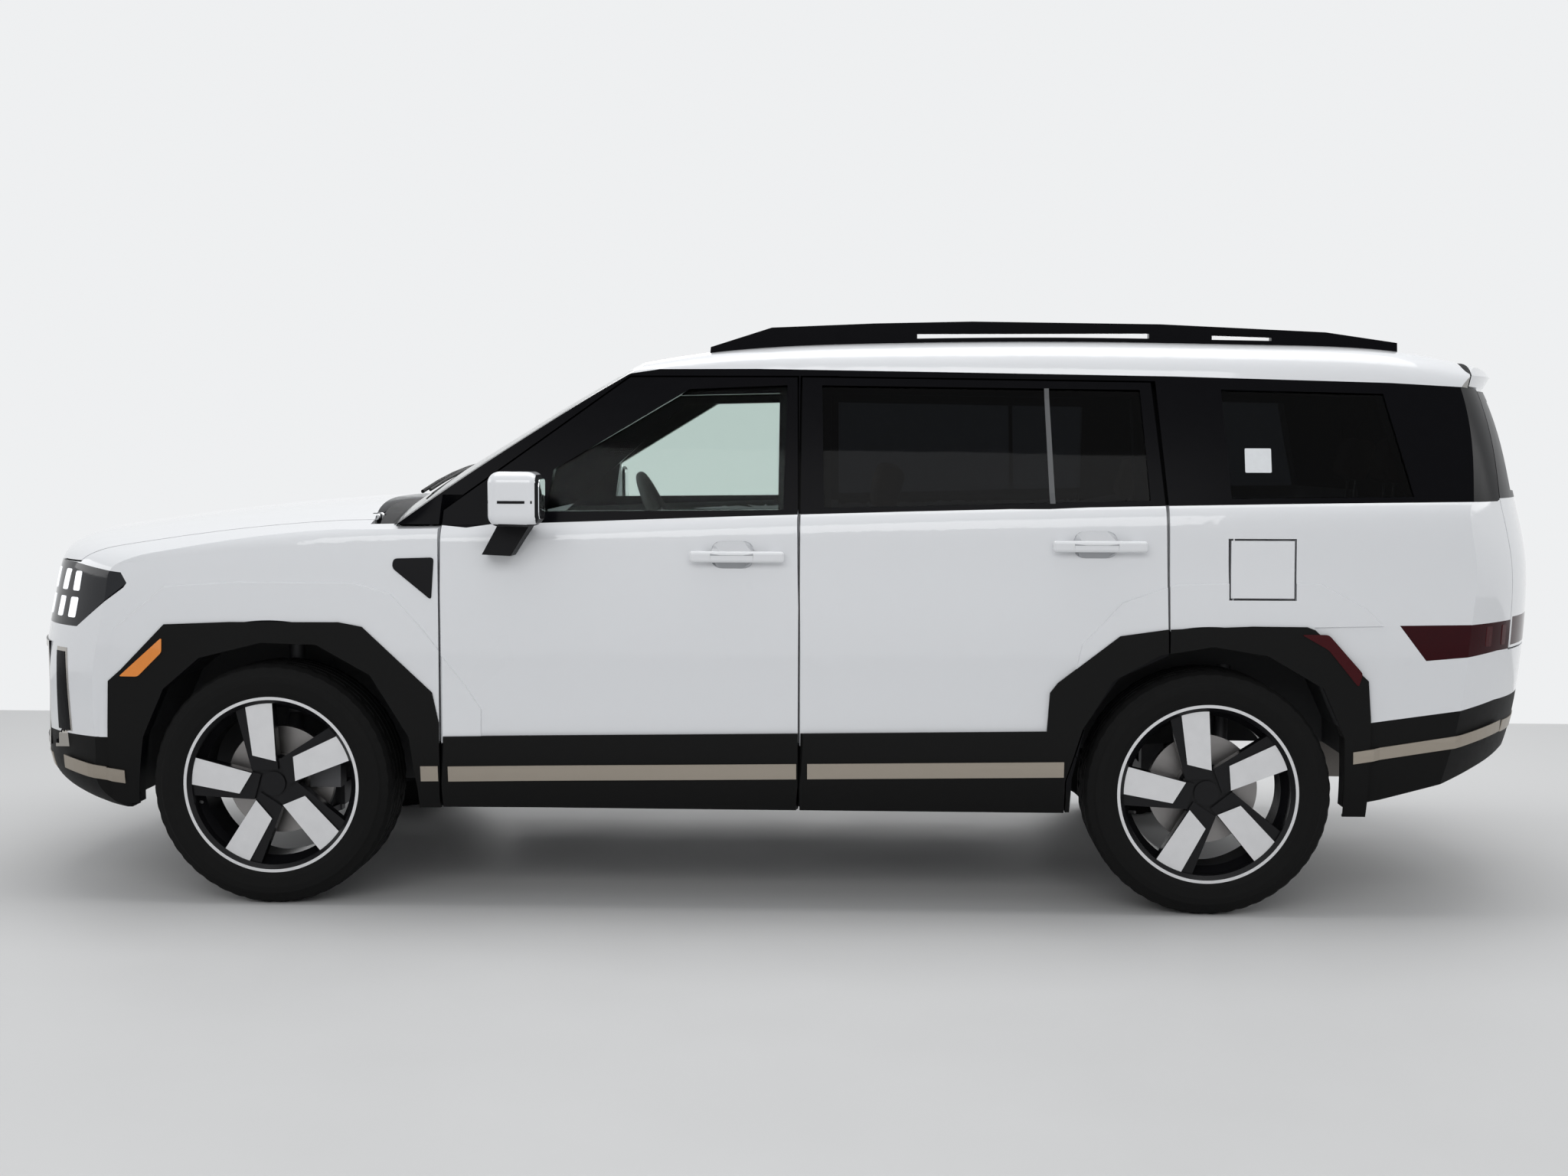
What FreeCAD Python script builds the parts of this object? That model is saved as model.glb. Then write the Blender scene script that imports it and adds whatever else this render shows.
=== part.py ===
import FreeCAD
import Part
import math
import os
from FreeCAD import Matrix, Placement, Rotation, Vector

os.makedirs("parts", exist_ok=True)
doc = FreeCAD.newDocument("suv")

# Driving sizes, in millimetres and degrees.
SIZES = [
    ("body_length", 4830, "bumper to bumper"),
    ("half_width", 936, "side panel at its widest, from the centre plane"),
    ("roof_top", 1742, "roof skin at the centre"),
    ("wheelbase", 2815, "axle to axle"),
    ("front_overhang", 895, "front axle to the bumper"),
    ("half_track", 818, "centre plane to the middle of a wheel"),
    ("tyre_radius", 366, "axle height as parked"),
    ("tyre_width", 255, "section width"),
    ("rim_radius", 271, "outer lip"),
    ("arch_size", 432, "wheel arch opening, axle to the top"),
    ("cladding_band", 62, "width of the arch cladding"),
    ("panel_gap", 5, "shut line between panels"),
    ("frame_gap", 7, "door skin to the door ring behind it"),
    ("skin_depth", 48, "outer layer of a door"),
    ("flare", 6, "raised field round a wheel arch"),
    ("trim_thick", 11, "lower trim above the panel"),
    ("wall_depth", 112, "whole side wall"),
    ("hinge_depth", 30, "hinge axis below the skin"),
    ("hinge_swing", 60, "radius of a door's leading edge"),
    ("pin_radius", 7, "door hinge pin"),
    ("pin_play", 0.5, "hinge pin clearance"),
    ("door_front_x", 1000, "fender to front door shut line"),
    ("pillar_x", -80, "front door to rear door shut line"),
    ("door_rear_x", -1172, "rear door to quarter panel shut line"),
    ("sill_bottom", 300, "underside of the doors"),
    ("glass_thick", 5, "window glass"),
    ("glass_depth", 9, "window glass below the skin"),
    ("hood_thick", 30, "hood with its inner frame"),
    ("roof_thick", 34, "roof with its lining"),
    ("spoke_count", 5, "wheel spokes"),
    ("lug_circle", 114.3, "wheel nut circle"),
    ("hub_bore", 67, "wheel centre bore"),
    ("seat_height", 640, "front cushion top above the ground"),
    ("steer_ring", 185, "steering wheel radius"),
    ("flap_size", 186, "fuel flap"),
]
sheet = doc.addObject("Spreadsheet::Sheet", "Sizes")
for row, (alias, value, note) in enumerate(SIZES, 1):
    sheet.set("A%d" % row, note)
    sheet.set("B%d" % row, str(value))
    sheet.setAlias("B%d" % row, alias)
doc.recompute()


def size(alias):
    return float(sheet.get(alias))


LENGTH = size("body_length")
HALF = size("half_width")
ROOF = size("roof_top")
GAP = size("panel_gap")
AXLE_F = LENGTH / 2 - size("front_overhang")
AXLE_R = AXLE_F - size("wheelbase")
AXLE_Z = size("tyre_radius")
TRACK = size("half_track")
DOOR_F = size("door_front_x")
DOOR_B = size("pillar_x")
DOOR_R = size("door_rear_x")
SILL = size("sill_bottom")
SKIN = size("skin_depth")
RING = SKIN + size("frame_gap")
WALL = size("wall_depth")
FAR = 3000.0


def steps(points):
    """How far along a run each of its points lies, from 0 to 1."""
    lengths = [0.0]
    for p, q in zip(points, points[1:]):
        lengths.append(lengths[-1] + math.dist(p, q))
    return [length / lengths[-1] for length in lengths]


BEND = [0.0, 0.5, 1.0]


def curve(points, places):
    """Smooth curve; sections that share their places loft into one light surface."""
    spline = Part.BSplineCurve()
    spline.interpolate(Points=points, Parameters=places)
    return spline.toShape()


def in_side(points, y):
    return [Vector(x, y, z) for x, z in points]


def prism(outline, y0, y1):
    """A side view outline, x and z, carried from y0 to y1."""
    pts = [Vector(x, y0, z) for x, z in outline]
    face = Part.Face(Part.makePolygon(pts + pts[:1]))
    return face.extrude(Vector(0, y1 - y0, 0))


def column(outline, z0, z1):
    """A plan outline, x and y, carried from z0 to z1."""
    pts = [Vector(x, y, z0) for x, y in outline]
    face = Part.Face(Part.makePolygon(pts + pts[:1]))
    return face.extrude(Vector(0, 0, z1 - z0))


def beam(outline, x0, x1):
    """A cross section, y and z, carried from x0 to x1."""
    pts = [Vector(x0, y, z) for y, z in outline]
    face = Part.Face(Part.makePolygon(pts + pts[:1]))
    return face.extrude(Vector(x1 - x0, 0, 0))


def box(x0, x1, y0, y1, z0, z1):
    return Part.makeBox(x1 - x0, y1 - y0, z1 - z0, Vector(x0, y0, z0))


def rod(p0, p1, radius):
    way = Vector(*p1) - Vector(*p0)
    return Part.makeCylinder(radius, way.Length, Vector(*p0), way)


def mirrored(shape):
    return shape.mirror(Vector(0, 0, 0), Vector(0, 1, 0))


def at(table, x):
    """Straight line reading of a table of pairs, first column falling or rising."""
    rows = sorted(table)
    if x <= rows[0][0]:
        return rows[0][1]
    for (x0, y0), (x1, y1) in zip(rows, rows[1:]):
        if x <= x1:
            return y0 + (y1 - y0) * (x - x0) / (x1 - x0)
    return rows[-1][1]


# Body skin. Heights along the centre plane, from the front to the rear.
ROOF_LINE = [(1420, -400), (1100, -290), (700, -155), (520, -102), (420, -70), (280, -42), (60, -21), (-300, -6),
             (-900, 0), (-1450, -7), (-1850, -23), (-2080, -56), (-2284, -134), (-2600, -250)]
DRIP_LINE = [(1420, 1285), (1100, 1400), (700, 1545), (520, 1602), (355, 1627), (60, 1628), (-497, 1619),
             (-1200, 1607), (-1839, 1589), (-2104, 1574), (-2600, 1545)]
BELT_LINE = [(1400, 1140), (1008, 1150), (-96, 1192), (-1169, 1222), (-2157, 1238), (-2600, 1244)]
WAIST = [(2500, -38), (1500, -6), (100, 0), (-1300, -4), (-2600, -26)]
SIDE = [(-50, 282), (-12, 390), (0, 620), (-2, 880), (-15, 1095)]
SIDE_STEPS = steps(SIDE + [(-28, 1168), (-44, 1188)])
STATIONS = [1420, 700, 420, 160, -300, -900, -1500, -1950, -2240, -2600]


def belt_y(z_above):
    return -44 - 0.262 * z_above - 0.00006 * z_above * z_above


def cabin_section(x, depth, top, half=False):
    waist = HALF + at(WAIST, x) - depth
    belt = at(BELT_LINE, x)
    drip = at(DRIP_LINE, x) - top * 0.5
    crown = ROOF + at(ROOF_LINE, x) - top
    lower = [Vector(x, waist + y, z) for y, z in SIDE]
    lower.append(Vector(x, waist - 28, belt - 20))
    lower.append(Vector(x, waist + belt_y(0), belt))
    middle = (belt + drip) / 2
    glass = [lower[-1], Vector(x, waist + belt_y(middle - belt), middle),
             Vector(x, waist + belt_y(drip - belt), drip)]
    y_drip = glass[-1].y
    y_crown = 0.80 * y_drip
    z_crown = crown - 0.00006 * y_crown ** 2
    bend = Vector(x, y_crown + 0.72 * (y_drip - y_crown), drip + 0.72 * (z_crown - drip))
    high = Vector(x, y_crown, z_crown)
    left = [curve(lower, SIDE_STEPS), curve(glass, BEND), curve([glass[-1], bend, high], BEND)]
    if half:
        corners = [high, Vector(x, 450, z_crown + 4), Vector(x, 450, 282), lower[0]]
        return Part.Wire(left + [Part.makeLine(p, q) for p, q in zip(corners, corners[1:])])
    right = [mirrored(edge) for edge in left]
    over = curve([high, Vector(x, 0, crown), Vector(x, -y_crown, z_crown)], BEND)
    floor = Part.makeLine(Vector(x, -lower[0].y, 282), Vector(x, lower[0].y, 282))
    return Part.Wire(Part.__sortEdges__(left + [over] + right + [floor]))


SCREEN = [(1420, 1062), (1161, 1244), (840, 1446), (640, 1566), (520, 1634), (250, 1790), (60, 1900)]
TAIL = [(-2120, 1900), (-2230, 1700), (-2284, 1612), (-2262, 1574), (-2330, 1400), (-2372, 1236),
        (-2413, 1040), (-2414, 880), (-2390, 620), (-2350, 455), (-2222, 262)]
ACROSS = [-980, -900, -760, -440, 0, 440, 760, 900, 980]


def tail_drop(y):
    y = abs(y)
    return y * y / 3300.0 + max(0, y - 780) ** 2 / 260.0


def screen_drop(y):
    return 0.00019 * y * y


def nose_drop(y):
    y = abs(y)
    return 3.6e-7 * y ** 3 + max(0, y - 800) ** 2 / 170.0


def end_block(inset):
    """Windscreen and tail surfaces, open well above the roof."""
    wires = []
    scale = LENGTH / 4830.0
    for y in (-980, -640, 0, 640, 980):
        front = [(x * scale - screen_drop(y) - inset * 0.55, z - inset * 0.8) for x, z in SCREEN]
        upper = [(x * scale + tail_drop(y) + inset, z) for x, z in TAIL[:3]]
        lower = [(x * scale + tail_drop(y) + inset, z) for x, z in TAIL[3:]]
        f = in_side(front, y)
        a = in_side(upper, y)
        b = in_side(lower, y)
        foot = Vector(f[0].x, y, 262)
        edges = [curve(f, steps(SCREEN)), Part.makeLine(f[-1], a[0]), curve(a, steps(TAIL[:3])),
                 Part.makeLine(a[-1], b[0]), curve(b, steps(TAIL[3:])), Part.makeLine(b[-1], foot),
                 Part.makeLine(foot, f[0])]
        wires.append(Part.Wire(edges))
    return Part.makeLoft(wires, True, False)


def tube(depth=0.0, top=0.0):
    """Cabin form set in by a depth at the sides and at the top, without ends."""
    return Part.makeLoft([cabin_section(x, depth, top) for x in STATIONS], True, False)


def left_tube(depth=0.0, top=0.0):
    """The same form, left of the place where the roof lining begins."""
    return Part.makeLoft([cabin_section(x, depth, top, True) for x in STATIONS], True, False)


HOOD_LINE = [(900, 1232), (1320, 1221), (1575, 1204), (1850, 1176), (2050, 1150), (2184, 1131),
             (2280, 1112), (2400, 1085), (2600, 1030)]
NOSE = [(1320, 1221), (1575, 1204), (1850, 1176), (2050, 1150), (2184, 1131), (2280, 1110),
        (2333, 1076), (2356, 1022), (2374, 935), (2398, 815), (2413, 700), (2415, 580),
        (2405, 450), (2384, 370), (2320, 312), (2196, 272)]
NOSE_STATIONS = [900, 1320, 1800, 2200, 2600]
NOSE_STEPS = steps(SIDE[:4] + [(-6, 965), (-16, 1050)])


def nose_section(x, depth, top):
    waist = HALF + at(WAIST, x) - depth
    hood = at(HOOD_LINE, x) - top
    lower = [Vector(x, waist + y, z) for y, z in SIDE[:4]]
    lower.append(Vector(x, waist - 6, (880 + hood - 128) / 2))
    lower.append(Vector(x, waist - 16, hood - 128))
    y_top = waist - 116
    bend = Vector(x, waist - 42, hood - 74)
    shoulder = curve([lower[-1], bend, Vector(x, y_top, hood - 44)], BEND)
    left = [curve(lower, NOSE_STEPS), shoulder]
    right = [mirrored(edge) for edge in left]
    over = curve([Vector(x, y_top, hood - 44), Vector(x, 0, hood + 60), Vector(x, -y_top, hood - 44)], BEND)
    floor = Part.makeLine(Vector(x, -lower[0].y, 282), Vector(x, lower[0].y, 282))
    return Part.Wire(Part.__sortEdges__(left + [over] + right + [floor]))


def nose(depth=0.0, top=0.0, ends=0.0):
    """Front of the body: bonnet, wings and bumper as one form."""
    wires = []
    scale = LENGTH / 4830.0
    for y in ACROSS:
        pts = []
        for x, z in NOSE:
            slide = min(1.0, max(0.0, (x - 1320) / 960.0))
            drop = 62.0 * abs(y / 830.0) ** 3 * max(0.0, (z - 700) / 500.0)
            back = ends * slide
            pts.append(Vector((x - back) * scale - nose_drop(y) * slide, y, z - drop - top * (z > 1060)))
        start = Vector(880, y, pts[0].z + 9)
        foot = Vector(880, y, 272)
        edges = [curve(pts, steps(NOSE)), Part.makeLine(pts[-1], foot), Part.makeLine(foot, start),
                 Part.makeLine(start, pts[0])]
        wires.append(Part.Wire(edges))
    profile = Part.makeLoft(wires, True, False)
    tube = Part.makeLoft([nose_section(x, depth, top) for x in NOSE_STATIONS], True, False)
    return profile.common(tube)


# Openings and shut lines, seen from the side.
def arch(axle, scale=1.0, rear=False):
    """The eight-sided wheel arch around an axle."""
    r = size("arch_size") * scale
    if rear:
        pts = [(0.95, -0.50), (0.93, 0.10), (0.85, 0.46), (0.66, 0.78), (0.34, 0.96), (-0.02, 1.02),
               (-0.39, 0.96), (-0.77, 0.74), (-0.92, 0.40), (-0.95, -0.50)]
    else:
        pts = [(0.99, -0.50), (0.98, -0.16), (0.91, 0.33), (0.76, 0.67), (0.50, 0.89), (0.06, 1.0),
               (-0.33, 0.99), (-0.71, 0.78), (-0.98, 0.35), (-1.03, -0.03), (-1.04, -0.50)]
    return [(axle + a * r, AXLE_Z + b * r) for a, b in pts]


ARCH_F = prism(arch(AXLE_F), -FAR, FAR)
ARCH_R = prism(arch(AXLE_R, 1.0, True), -FAR, FAR)
LINER_F = arch(AXLE_F, 1.05)
LINER_R = arch(AXLE_R, 1.05, True)


def grow(outline, amount):
    """The outline moved outward by an amount."""
    pts = [Vector(x, z, 0) for x, z in outline]
    wire = Part.makePolygon(pts + pts[:1])
    moved = wire.makeOffset2D(amount, 2, False, False, True)
    ordered = moved.OrderedVertexes
    return [(p.X, p.Y) for p in ordered]


DOOR_TOP = 1602
FRONT_DOOR = [(DOOR_F, SILL), (DOOR_F, 1150), (DOOR_F - 4, 1198), (444, DOOR_TOP), (DOOR_B + GAP + 10, DOOR_TOP),
              (DOOR_B + GAP + 3, 1200), (DOOR_B + GAP, 1150), (DOOR_B + GAP, SILL)]
REAR_END = [(DOOR_R, 780), (DOOR_R + 145, 712), (DOOR_R + 250, 560), (DOOR_R + 300, 400), (DOOR_R + 300, SILL)]
REAR_DOOR = [(DOOR_B, SILL), (DOOR_B, DOOR_TOP), (DOOR_R + 45, 1588), (DOOR_R + 9, 1222)] + REAR_END
REAR_ROOM = [(DOOR_B, SILL), (DOOR_B, DOOR_TOP), (DOOR_R + 36, 1588), (DOOR_R + 4, 1222)] + REAR_END
FRONT_WAY = [(DOOR_F - 96, 470), (DOOR_F - 96, 1120), (410, 1545), (DOOR_B + 70, 1555), (DOOR_B + 70, 470)]
REAR_WAY = [(DOOR_B - 88, 470), (DOOR_B - 88, 1555), (DOOR_R + 95, 1540), (DOOR_R + 85, 860),
            (DOOR_R + 210, 760), (DOOR_R + 340, 600), (DOOR_R + 360, 470)]
FRONT_WINDOW = [(690, 1196), (668, 1322), (262, 1566), (DOOR_B + 45, 1578), (DOOR_B + 52, 1204)]
REAR_WINDOW = [(DOOR_B - 70, 1210), (DOOR_B - 60, 1578), (DOOR_R + 78, 1566), (DOOR_R + 52, 1236)]
QUARTER_WINDOW = [(-1358, 1242), (-1336, 1568), (-1818, 1556), (-1896, 1250)]

FLARE = size("flare")
TRIM = size("trim_thick")
FLARE_F = [(541, -60), (541, 236), (488, 475), (329, 607), (101, 625), (-256, 627), (-375, 595), (-480, 482),
           (-610, 317), (-660, 240), (-660, 150), (-560, -60)]
FLARE_R = [(435, 150), (435, 253), (392, 451), (267, 580), (107, 634), (-121, 640), (-327, 637), (-465, 562),
           (-628, 401), (-628, 150), (-500, -60), (300, -60)]


def flare_pad(outline, axle):
    """The raised field around a wheel arch, with sloping edges."""
    wires = []
    for y, amount in ((HALF - 60, 6), (HALF + 24, -24)):
        ring = grow([(axle + a, AXLE_Z + b) for a, b in outline], amount)
        pts = [Vector(x, y, z) for x, z in ring]
        wires.append(Part.makePolygon(pts + pts[:1]))
    return Part.makeLoft(wires, True, True)


PLAIN_L = left_tube()
PAD_F = flare_pad(FLARE_F, AXLE_F)
PAD_R = flare_pad(FLARE_R, AXLE_R)
FLARED_L = left_tube(-FLARE)
ENDS = end_block(0.0)
PAD_ON_DOOR = PAD_F.common(box(0, DOOR_F + 60, 500, 1200, 290, 1100)).common(FLARED_L)
PAD_ON_REAR = PAD_R.common(box(-FAR, FAR, 500, 1200, 290, 1100)).common(FLARED_L)
SKIN_L = PLAIN_L.fuse([PAD_ON_DOOR, PAD_ON_REAR])
LAYER_L = left_tube(SKIN)
RING_L = left_tube(RING, 8)
WALL_L = left_tube(WALL, size("roof_thick"))
PANE_OUT = left_tube(size("glass_depth"), 8)
PANE_IN = left_tube(size("glass_depth") + size("glass_thick"), 8)


def skin_y(x, z):
    """Where the outer skin lies at a place in the side view."""
    probe = Part.makeLine(Vector(x, 500, z), Vector(x, 1200, z))
    return probe.common(PLAIN_L).BoundBox.YMax


HINGE_Z = (620, 1010)
HINGE_F = (DOOR_F - GAP / 2 - 52, skin_y(DOOR_F - 40, 800) - size("hinge_depth"))
HINGE_R = (DOOR_B - GAP / 2 - 52, skin_y(DOOR_B - 40, 800) - size("hinge_depth"))
SWING = size("hinge_swing")


def lead_cut(hinge, radius, z0, z1):
    """Everything ahead of a door's rounded leading edge."""
    ahead = box(hinge[0], hinge[0] + 400, hinge[1] - 140, 1200, z0, z1)
    round_edge = Part.makeCylinder(radius, z1 - z0, Vector(hinge[0], hinge[1], z0))
    return ahead.cut(round_edge)


def pane(window):
    block = prism(grow(window, 14), 500, 1200)
    return block.common(PANE_OUT).cut(PANE_IN)


def swing_room(hinge, top):
    return Part.makeCylinder(SWING + GAP, top - SILL + 5, Vector(hinge[0], hinge[1], SILL - 5))


def door(outline, way, window, hinge, lead_top):
    outer = prism(outline, 500, 1200).common(SKIN_L).cut([LAYER_L, lead_cut(hinge, SWING, SILL - 5, lead_top)])
    inner_zone = prism(grow(way, -12), 500, 1200).common(box(-FAR, FAR, 500, 1200, 0, 1150))
    inner = inner_zone.common(LAYER_L).cut(WALL_L)
    glass = pane(window)
    tools = [prism(window, 0, FAR), glass]
    for z in HINGE_Z:
        tools.append(box(hinge[0] - 16, hinge[0] + 90, hinge[1] - 120, hinge[1] + 16, z - 32, z + 32))
        tools.append(Part.makeCylinder(size("pin_radius") + size("pin_play"), 122,
                                       Vector(hinge[0], hinge[1], z - 61)))
    return outer.fuse(inner).cut(tools), glass


LEAD_TOP = 1240
front_door, front_pane = door(FRONT_DOOR, FRONT_WAY, FRONT_WINDOW, HINGE_F, LEAD_TOP)
rear_door, rear_pane = door(REAR_DOOR, REAR_WAY, REAR_WINDOW, HINGE_R, LEAD_TOP)
front_door = front_door.cut(swing_room(HINGE_R, LEAD_TOP))


def hinge_arms(hinge):
    """Door ring side of the hinges: a block on the pillar with the pin through it."""
    back_y = hinge[1] + size("hinge_depth") - WALL
    arms = []
    for z in HINGE_Z:
        block = box(hinge[0] - 11, hinge[0] + 11, back_y + 2, hinge[1] + 9, z - 26, z + 26)
        foot = box(hinge[0] - 11, hinge[0] + 70, back_y + 2, back_y + 16, z - 26, z + 26)
        pin = Part.makeCylinder(size("pin_radius"), 116, Vector(hinge[0], hinge[1], z - 58))
        arms.append(block.fuse([foot, pin]))
    return arms


# Body side: pillars, sill and quarter panel around the doorways.
DRIP = [(FAR, 1400), (1100, 1400), (700, 1545), (520, 1602), (355, 1627), (60, 1628), (-497, 1619),
        (-1200, 1607), (-1839, 1589), (-2104, 1574), (-FAR, 1545)]
ABOVE_DRIP = prism(DRIP + [(-FAR, 2100), (FAR, 2100)], -1200, 1200)
GATE_HALF = 742
GATE_TOP_X = -2085
GATE_FOOT = 792
TAIL_BAND = [(-1850, 872), (-FAR, 890), (-FAR, 792), (-2167, 790), (-1929, 768)]
BUMPER_R = [(-1600, 866), (-1850, 872), (-1929, 768), (-2167, 790), (-FAR, GATE_FOOT), (-FAR, 200), (-1600, 200)]
GATE_ZONE = [(GATE_TOP_X, 1900), (GATE_TOP_X, 1500), (-1900, 1300), (-1900, GATE_FOOT), (-FAR, GATE_FOOT),
             (-FAR, 1900)]


def gate_width(z):
    return GATE_HALF if z < 1240 else GATE_HALF - 0.27 * (z - 1240)


GATE_FACE = [(-gate_width(1560), 2000), (-gate_width(1560), 1560), (-GATE_HALF, 1240), (-GATE_HALF, GATE_FOOT),
             (GATE_HALF, GATE_FOOT), (GATE_HALF, 1240), (gate_width(1560), 1560), (gate_width(1560), 2000)]
gate_room = beam(grow(GATE_FACE, GAP), -FAR, -1500).common(prism(grow(GATE_ZONE, GAP), -1200, 1200))
FULL = tube()
FULL_WALL = tube(WALL, size("roof_thick"))
screen_zone = prism([(380, 1150), (1500, 1150), (1500, 1628), (380, 1628)], -1200, 1200)
windscreen = screen_zone.common(ENDS).cut(end_block(6.0)).common(tube(42, 14))


PILLAR_FOOT = 1140
SIDE_ZONE = [(-FAR, 1700), (-FAR, 700), (-1500, 300), (DOOR_F + 60, 300), (DOOR_F + 60, 1120),
             (PILLAR_FOOT, 1120), (PILLAR_FOOT, 1700)]
WING_ZONE = [(DOOR_F - 1, 295), (FAR, 295), (FAR, 1156), (DOOR_F - 1, 1156)]
room = [prism(grow(FRONT_DOOR, GAP), 500, 1200).fuse([prism(grow(REAR_ROOM, GAP), 500, 1200),
                                                      prism(WING_ZONE, 500, 1200)]).cut(RING_L),
        swing_room(HINGE_F, LEAD_TOP + 5), swing_room(HINGE_R, LEAD_TOP + 5),
        prism([(DOOR_B - 110, LEAD_TOP - 4), (DOOR_B + 6, LEAD_TOP - 4), (DOOR_B + 6, DOOR_TOP + GAP),
               (DOOR_B - 110, DOOR_TOP + GAP)], 500, 1200).cut(left_tube(RING + 16, 8))]
side_zone = prism(SIDE_ZONE, 480, 1200).cut(ABOVE_DRIP).common(ENDS)
side_zone = side_zone.cut([ARCH_R, prism(BUMPER_R, 0, FAR), prism(TAIL_BAND, 0, FAR), gate_room,
                           prism(FRONT_WAY, 0, FAR), prism(REAR_WAY, 0, FAR)])
CABIN = [(-50, 250), (-12, 390), (0, 620), (-2, 880), (-15, 1095), (-28, 1168), (-44, 1188), (-102, 1400),
         (-171, 1628), (-192, 1720)]
CABIN_END = [(1500, 240), (1500, 1760), (-2000, 1760), (-2050, 1400), (-2095, 1236), (-2110, 240)]
cabin_half = [(HALF - WALL + y, z) for y, z in CABIN]
cabin = beam([(-y, z) for y, z in cabin_half] + cabin_half[::-1], -FAR, 1500)
cabin = cabin.common(prism(CABIN_END, -1200, 1200))
side = side_zone.common(SKIN_L).cut([cabin] + room)
quarter_pane = pane(QUARTER_WINDOW)
side = side.fuse(hinge_arms(HINGE_F) + hinge_arms(HINGE_R))
side = side.cut([prism(QUARTER_WINDOW, 0, FAR), quarter_pane, windscreen])
side = max(side.Solids, key=lambda s: s.Volume)

NODES = {}


def keep(name, *shapes):
    solids = []
    for item in shapes:
        solids.extend(item.Solids)
    NODES[name] = solids[0] if len(solids) == 1 else Part.makeCompound(solids)


def keep_pair(name, shape):
    keep(name + "_left", shape)
    keep(name + "_right", mirrored(shape))


# Roof and tailgate.
HINGE_G = (GATE_TOP_X - 12, ROOF + at(ROOF_LINE, GATE_TOP_X - 12) - 30)
GATE_SWING = math.hypot(12, 30)
gate_axis = rod((HINGE_G[0], -1200, HINGE_G[1]), (HINGE_G[0], 1200, HINGE_G[1]), GATE_SWING + GAP)
roof = ABOVE_DRIP.common(box(GATE_TOP_X + GAP, 1500, -1200, 1200, 1000, 2100)).cut(gate_axis)
roof = roof.common(FULL).common(ENDS).cut([FULL_WALL, windscreen])
gate_arms = []
for y in (-370, 330):
    arm = box(HINGE_G[0] - 8, HINGE_G[0] + 8, y, y + 40, HINGE_G[1] - 52, HINGE_G[1] + 8)
    foot = box(HINGE_G[0] - 8, HINGE_G[0] + 80, y, y + 40, HINGE_G[1] - 52, HINGE_G[1] - 36)
    post = box(HINGE_G[0] + 52, HINGE_G[0] + 80, y, y + 40, HINGE_G[1] - 50, HINGE_G[1] + 12)
    pin = rod((HINGE_G[0], y - 22, HINGE_G[1]), (HINGE_G[0], y + 62, HINGE_G[1]), 5)
    gate_arms.append(arm.fuse([foot, post.common(FULL).fuse(pin)]))
roof = roof.fuse(gate_arms)
keep("roof_panel", roof)

lifted = ABOVE_DRIP.copy()
lifted.translate(Vector(0, 0, GAP))
gate_zone = beam(GATE_FACE, -FAR, -1500).fuse(lifted).common(prism(GATE_ZONE, -1200, 1200))
gate = gate_zone.common(FULL).common(ENDS).cut(tube(60, 34).common(end_block(75.0)))
gate_window = [(-600, 1262), (-548, 1540), (548, 1540), (600, 1262)]
gate_glass = beam(grow(gate_window, 14), -FAR, -1800).common(end_block(9.0)).cut(end_block(14.0))
gate_lamp = box(-FAR, -1900, -734, 734, 800, 886).common(ENDS).cut(end_block(22.0))
lead = box(HINGE_G[0], HINGE_G[0] + 60, -1200, 1200, HINGE_G[1] - 4, HINGE_G[1] + 60)
lead = lead.cut(rod((HINGE_G[0], -1200, HINGE_G[1]), (HINGE_G[0], 1200, HINGE_G[1]), GATE_SWING))
lugs = []
notches = [lead, beam(gate_window, -FAR, -1500), gate_glass, gate_lamp]
for y in (-370, 330):
    for y0 in (y - 26, y + 44):
        lugs.append(rod((HINGE_G[0], y0, HINGE_G[1]), (HINGE_G[0], y0 + 22, HINGE_G[1]), 14))
    notches.append(box(HINGE_G[0] - 14, HINGE_G[0] + 90, y - 4, y + 44, HINGE_G[1] - 66, HINGE_G[1] + 12))
    notches.append(rod((HINGE_G[0], y - 26, HINGE_G[1]), (HINGE_G[0], y + 66, HINGE_G[1]), 5.5))
gate = gate.fuse(lugs).cut(notches)
keep("tailgate", gate)
keep("tailgate_glass", gate_glass)
keep("tailgate_lamp", gate_lamp)

# Tail lamps and rear bumper.
rear_core = tube(60, 60).common(end_block(70.0))
lamp_zone = prism(TAIL_BAND, GATE_HALF + GAP, 1200)
tail_lamp = lamp_zone.common(FULL).common(ENDS).cut(rear_core)
keep("tail_lamps", tail_lamp, mirrored(tail_lamp))
BUMPER_ZONE = [(-1600, 866), (-1850, 872), (-1929, 768), (-2167, 790), (-FAR, GATE_FOOT), (-FAR, 652), (-2169, 640),
               (-1783, 585), (-1600, 560)]
rear_shell = prism(BUMPER_R, -1200, 1200).common(FULL).common(ENDS).cut([rear_core, ARCH_R])
below_gate = box(-FAR, -1900, -GATE_HALF - GAP, GATE_HALF + GAP, GATE_FOOT - GAP, 900)
rear_bumper = rear_shell.common(prism(BUMPER_ZONE, -1200, 1200)).cut(below_gate)

# Front: wings, bonnet, bumper, lamps and grille.
NOSE_OUT = nose()
NOSE_IN = nose(45, 30, 45)
LAMP = [(2168, 1030), (1981, 1006), (1962, 974), (2141, 836), (2700, 836), (2700, 1030)]
WING = [(DOOR_F + GAP, 300), (DOOR_F + GAP, 1400), (2700, 1400), (2700, 1036), (2168, 1030), (1981, 1006),
        (1962, 974), (1972, 960), (1972, 300)]
HOOD_SIDE = 795
HOOD_REAR = 1228


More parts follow.
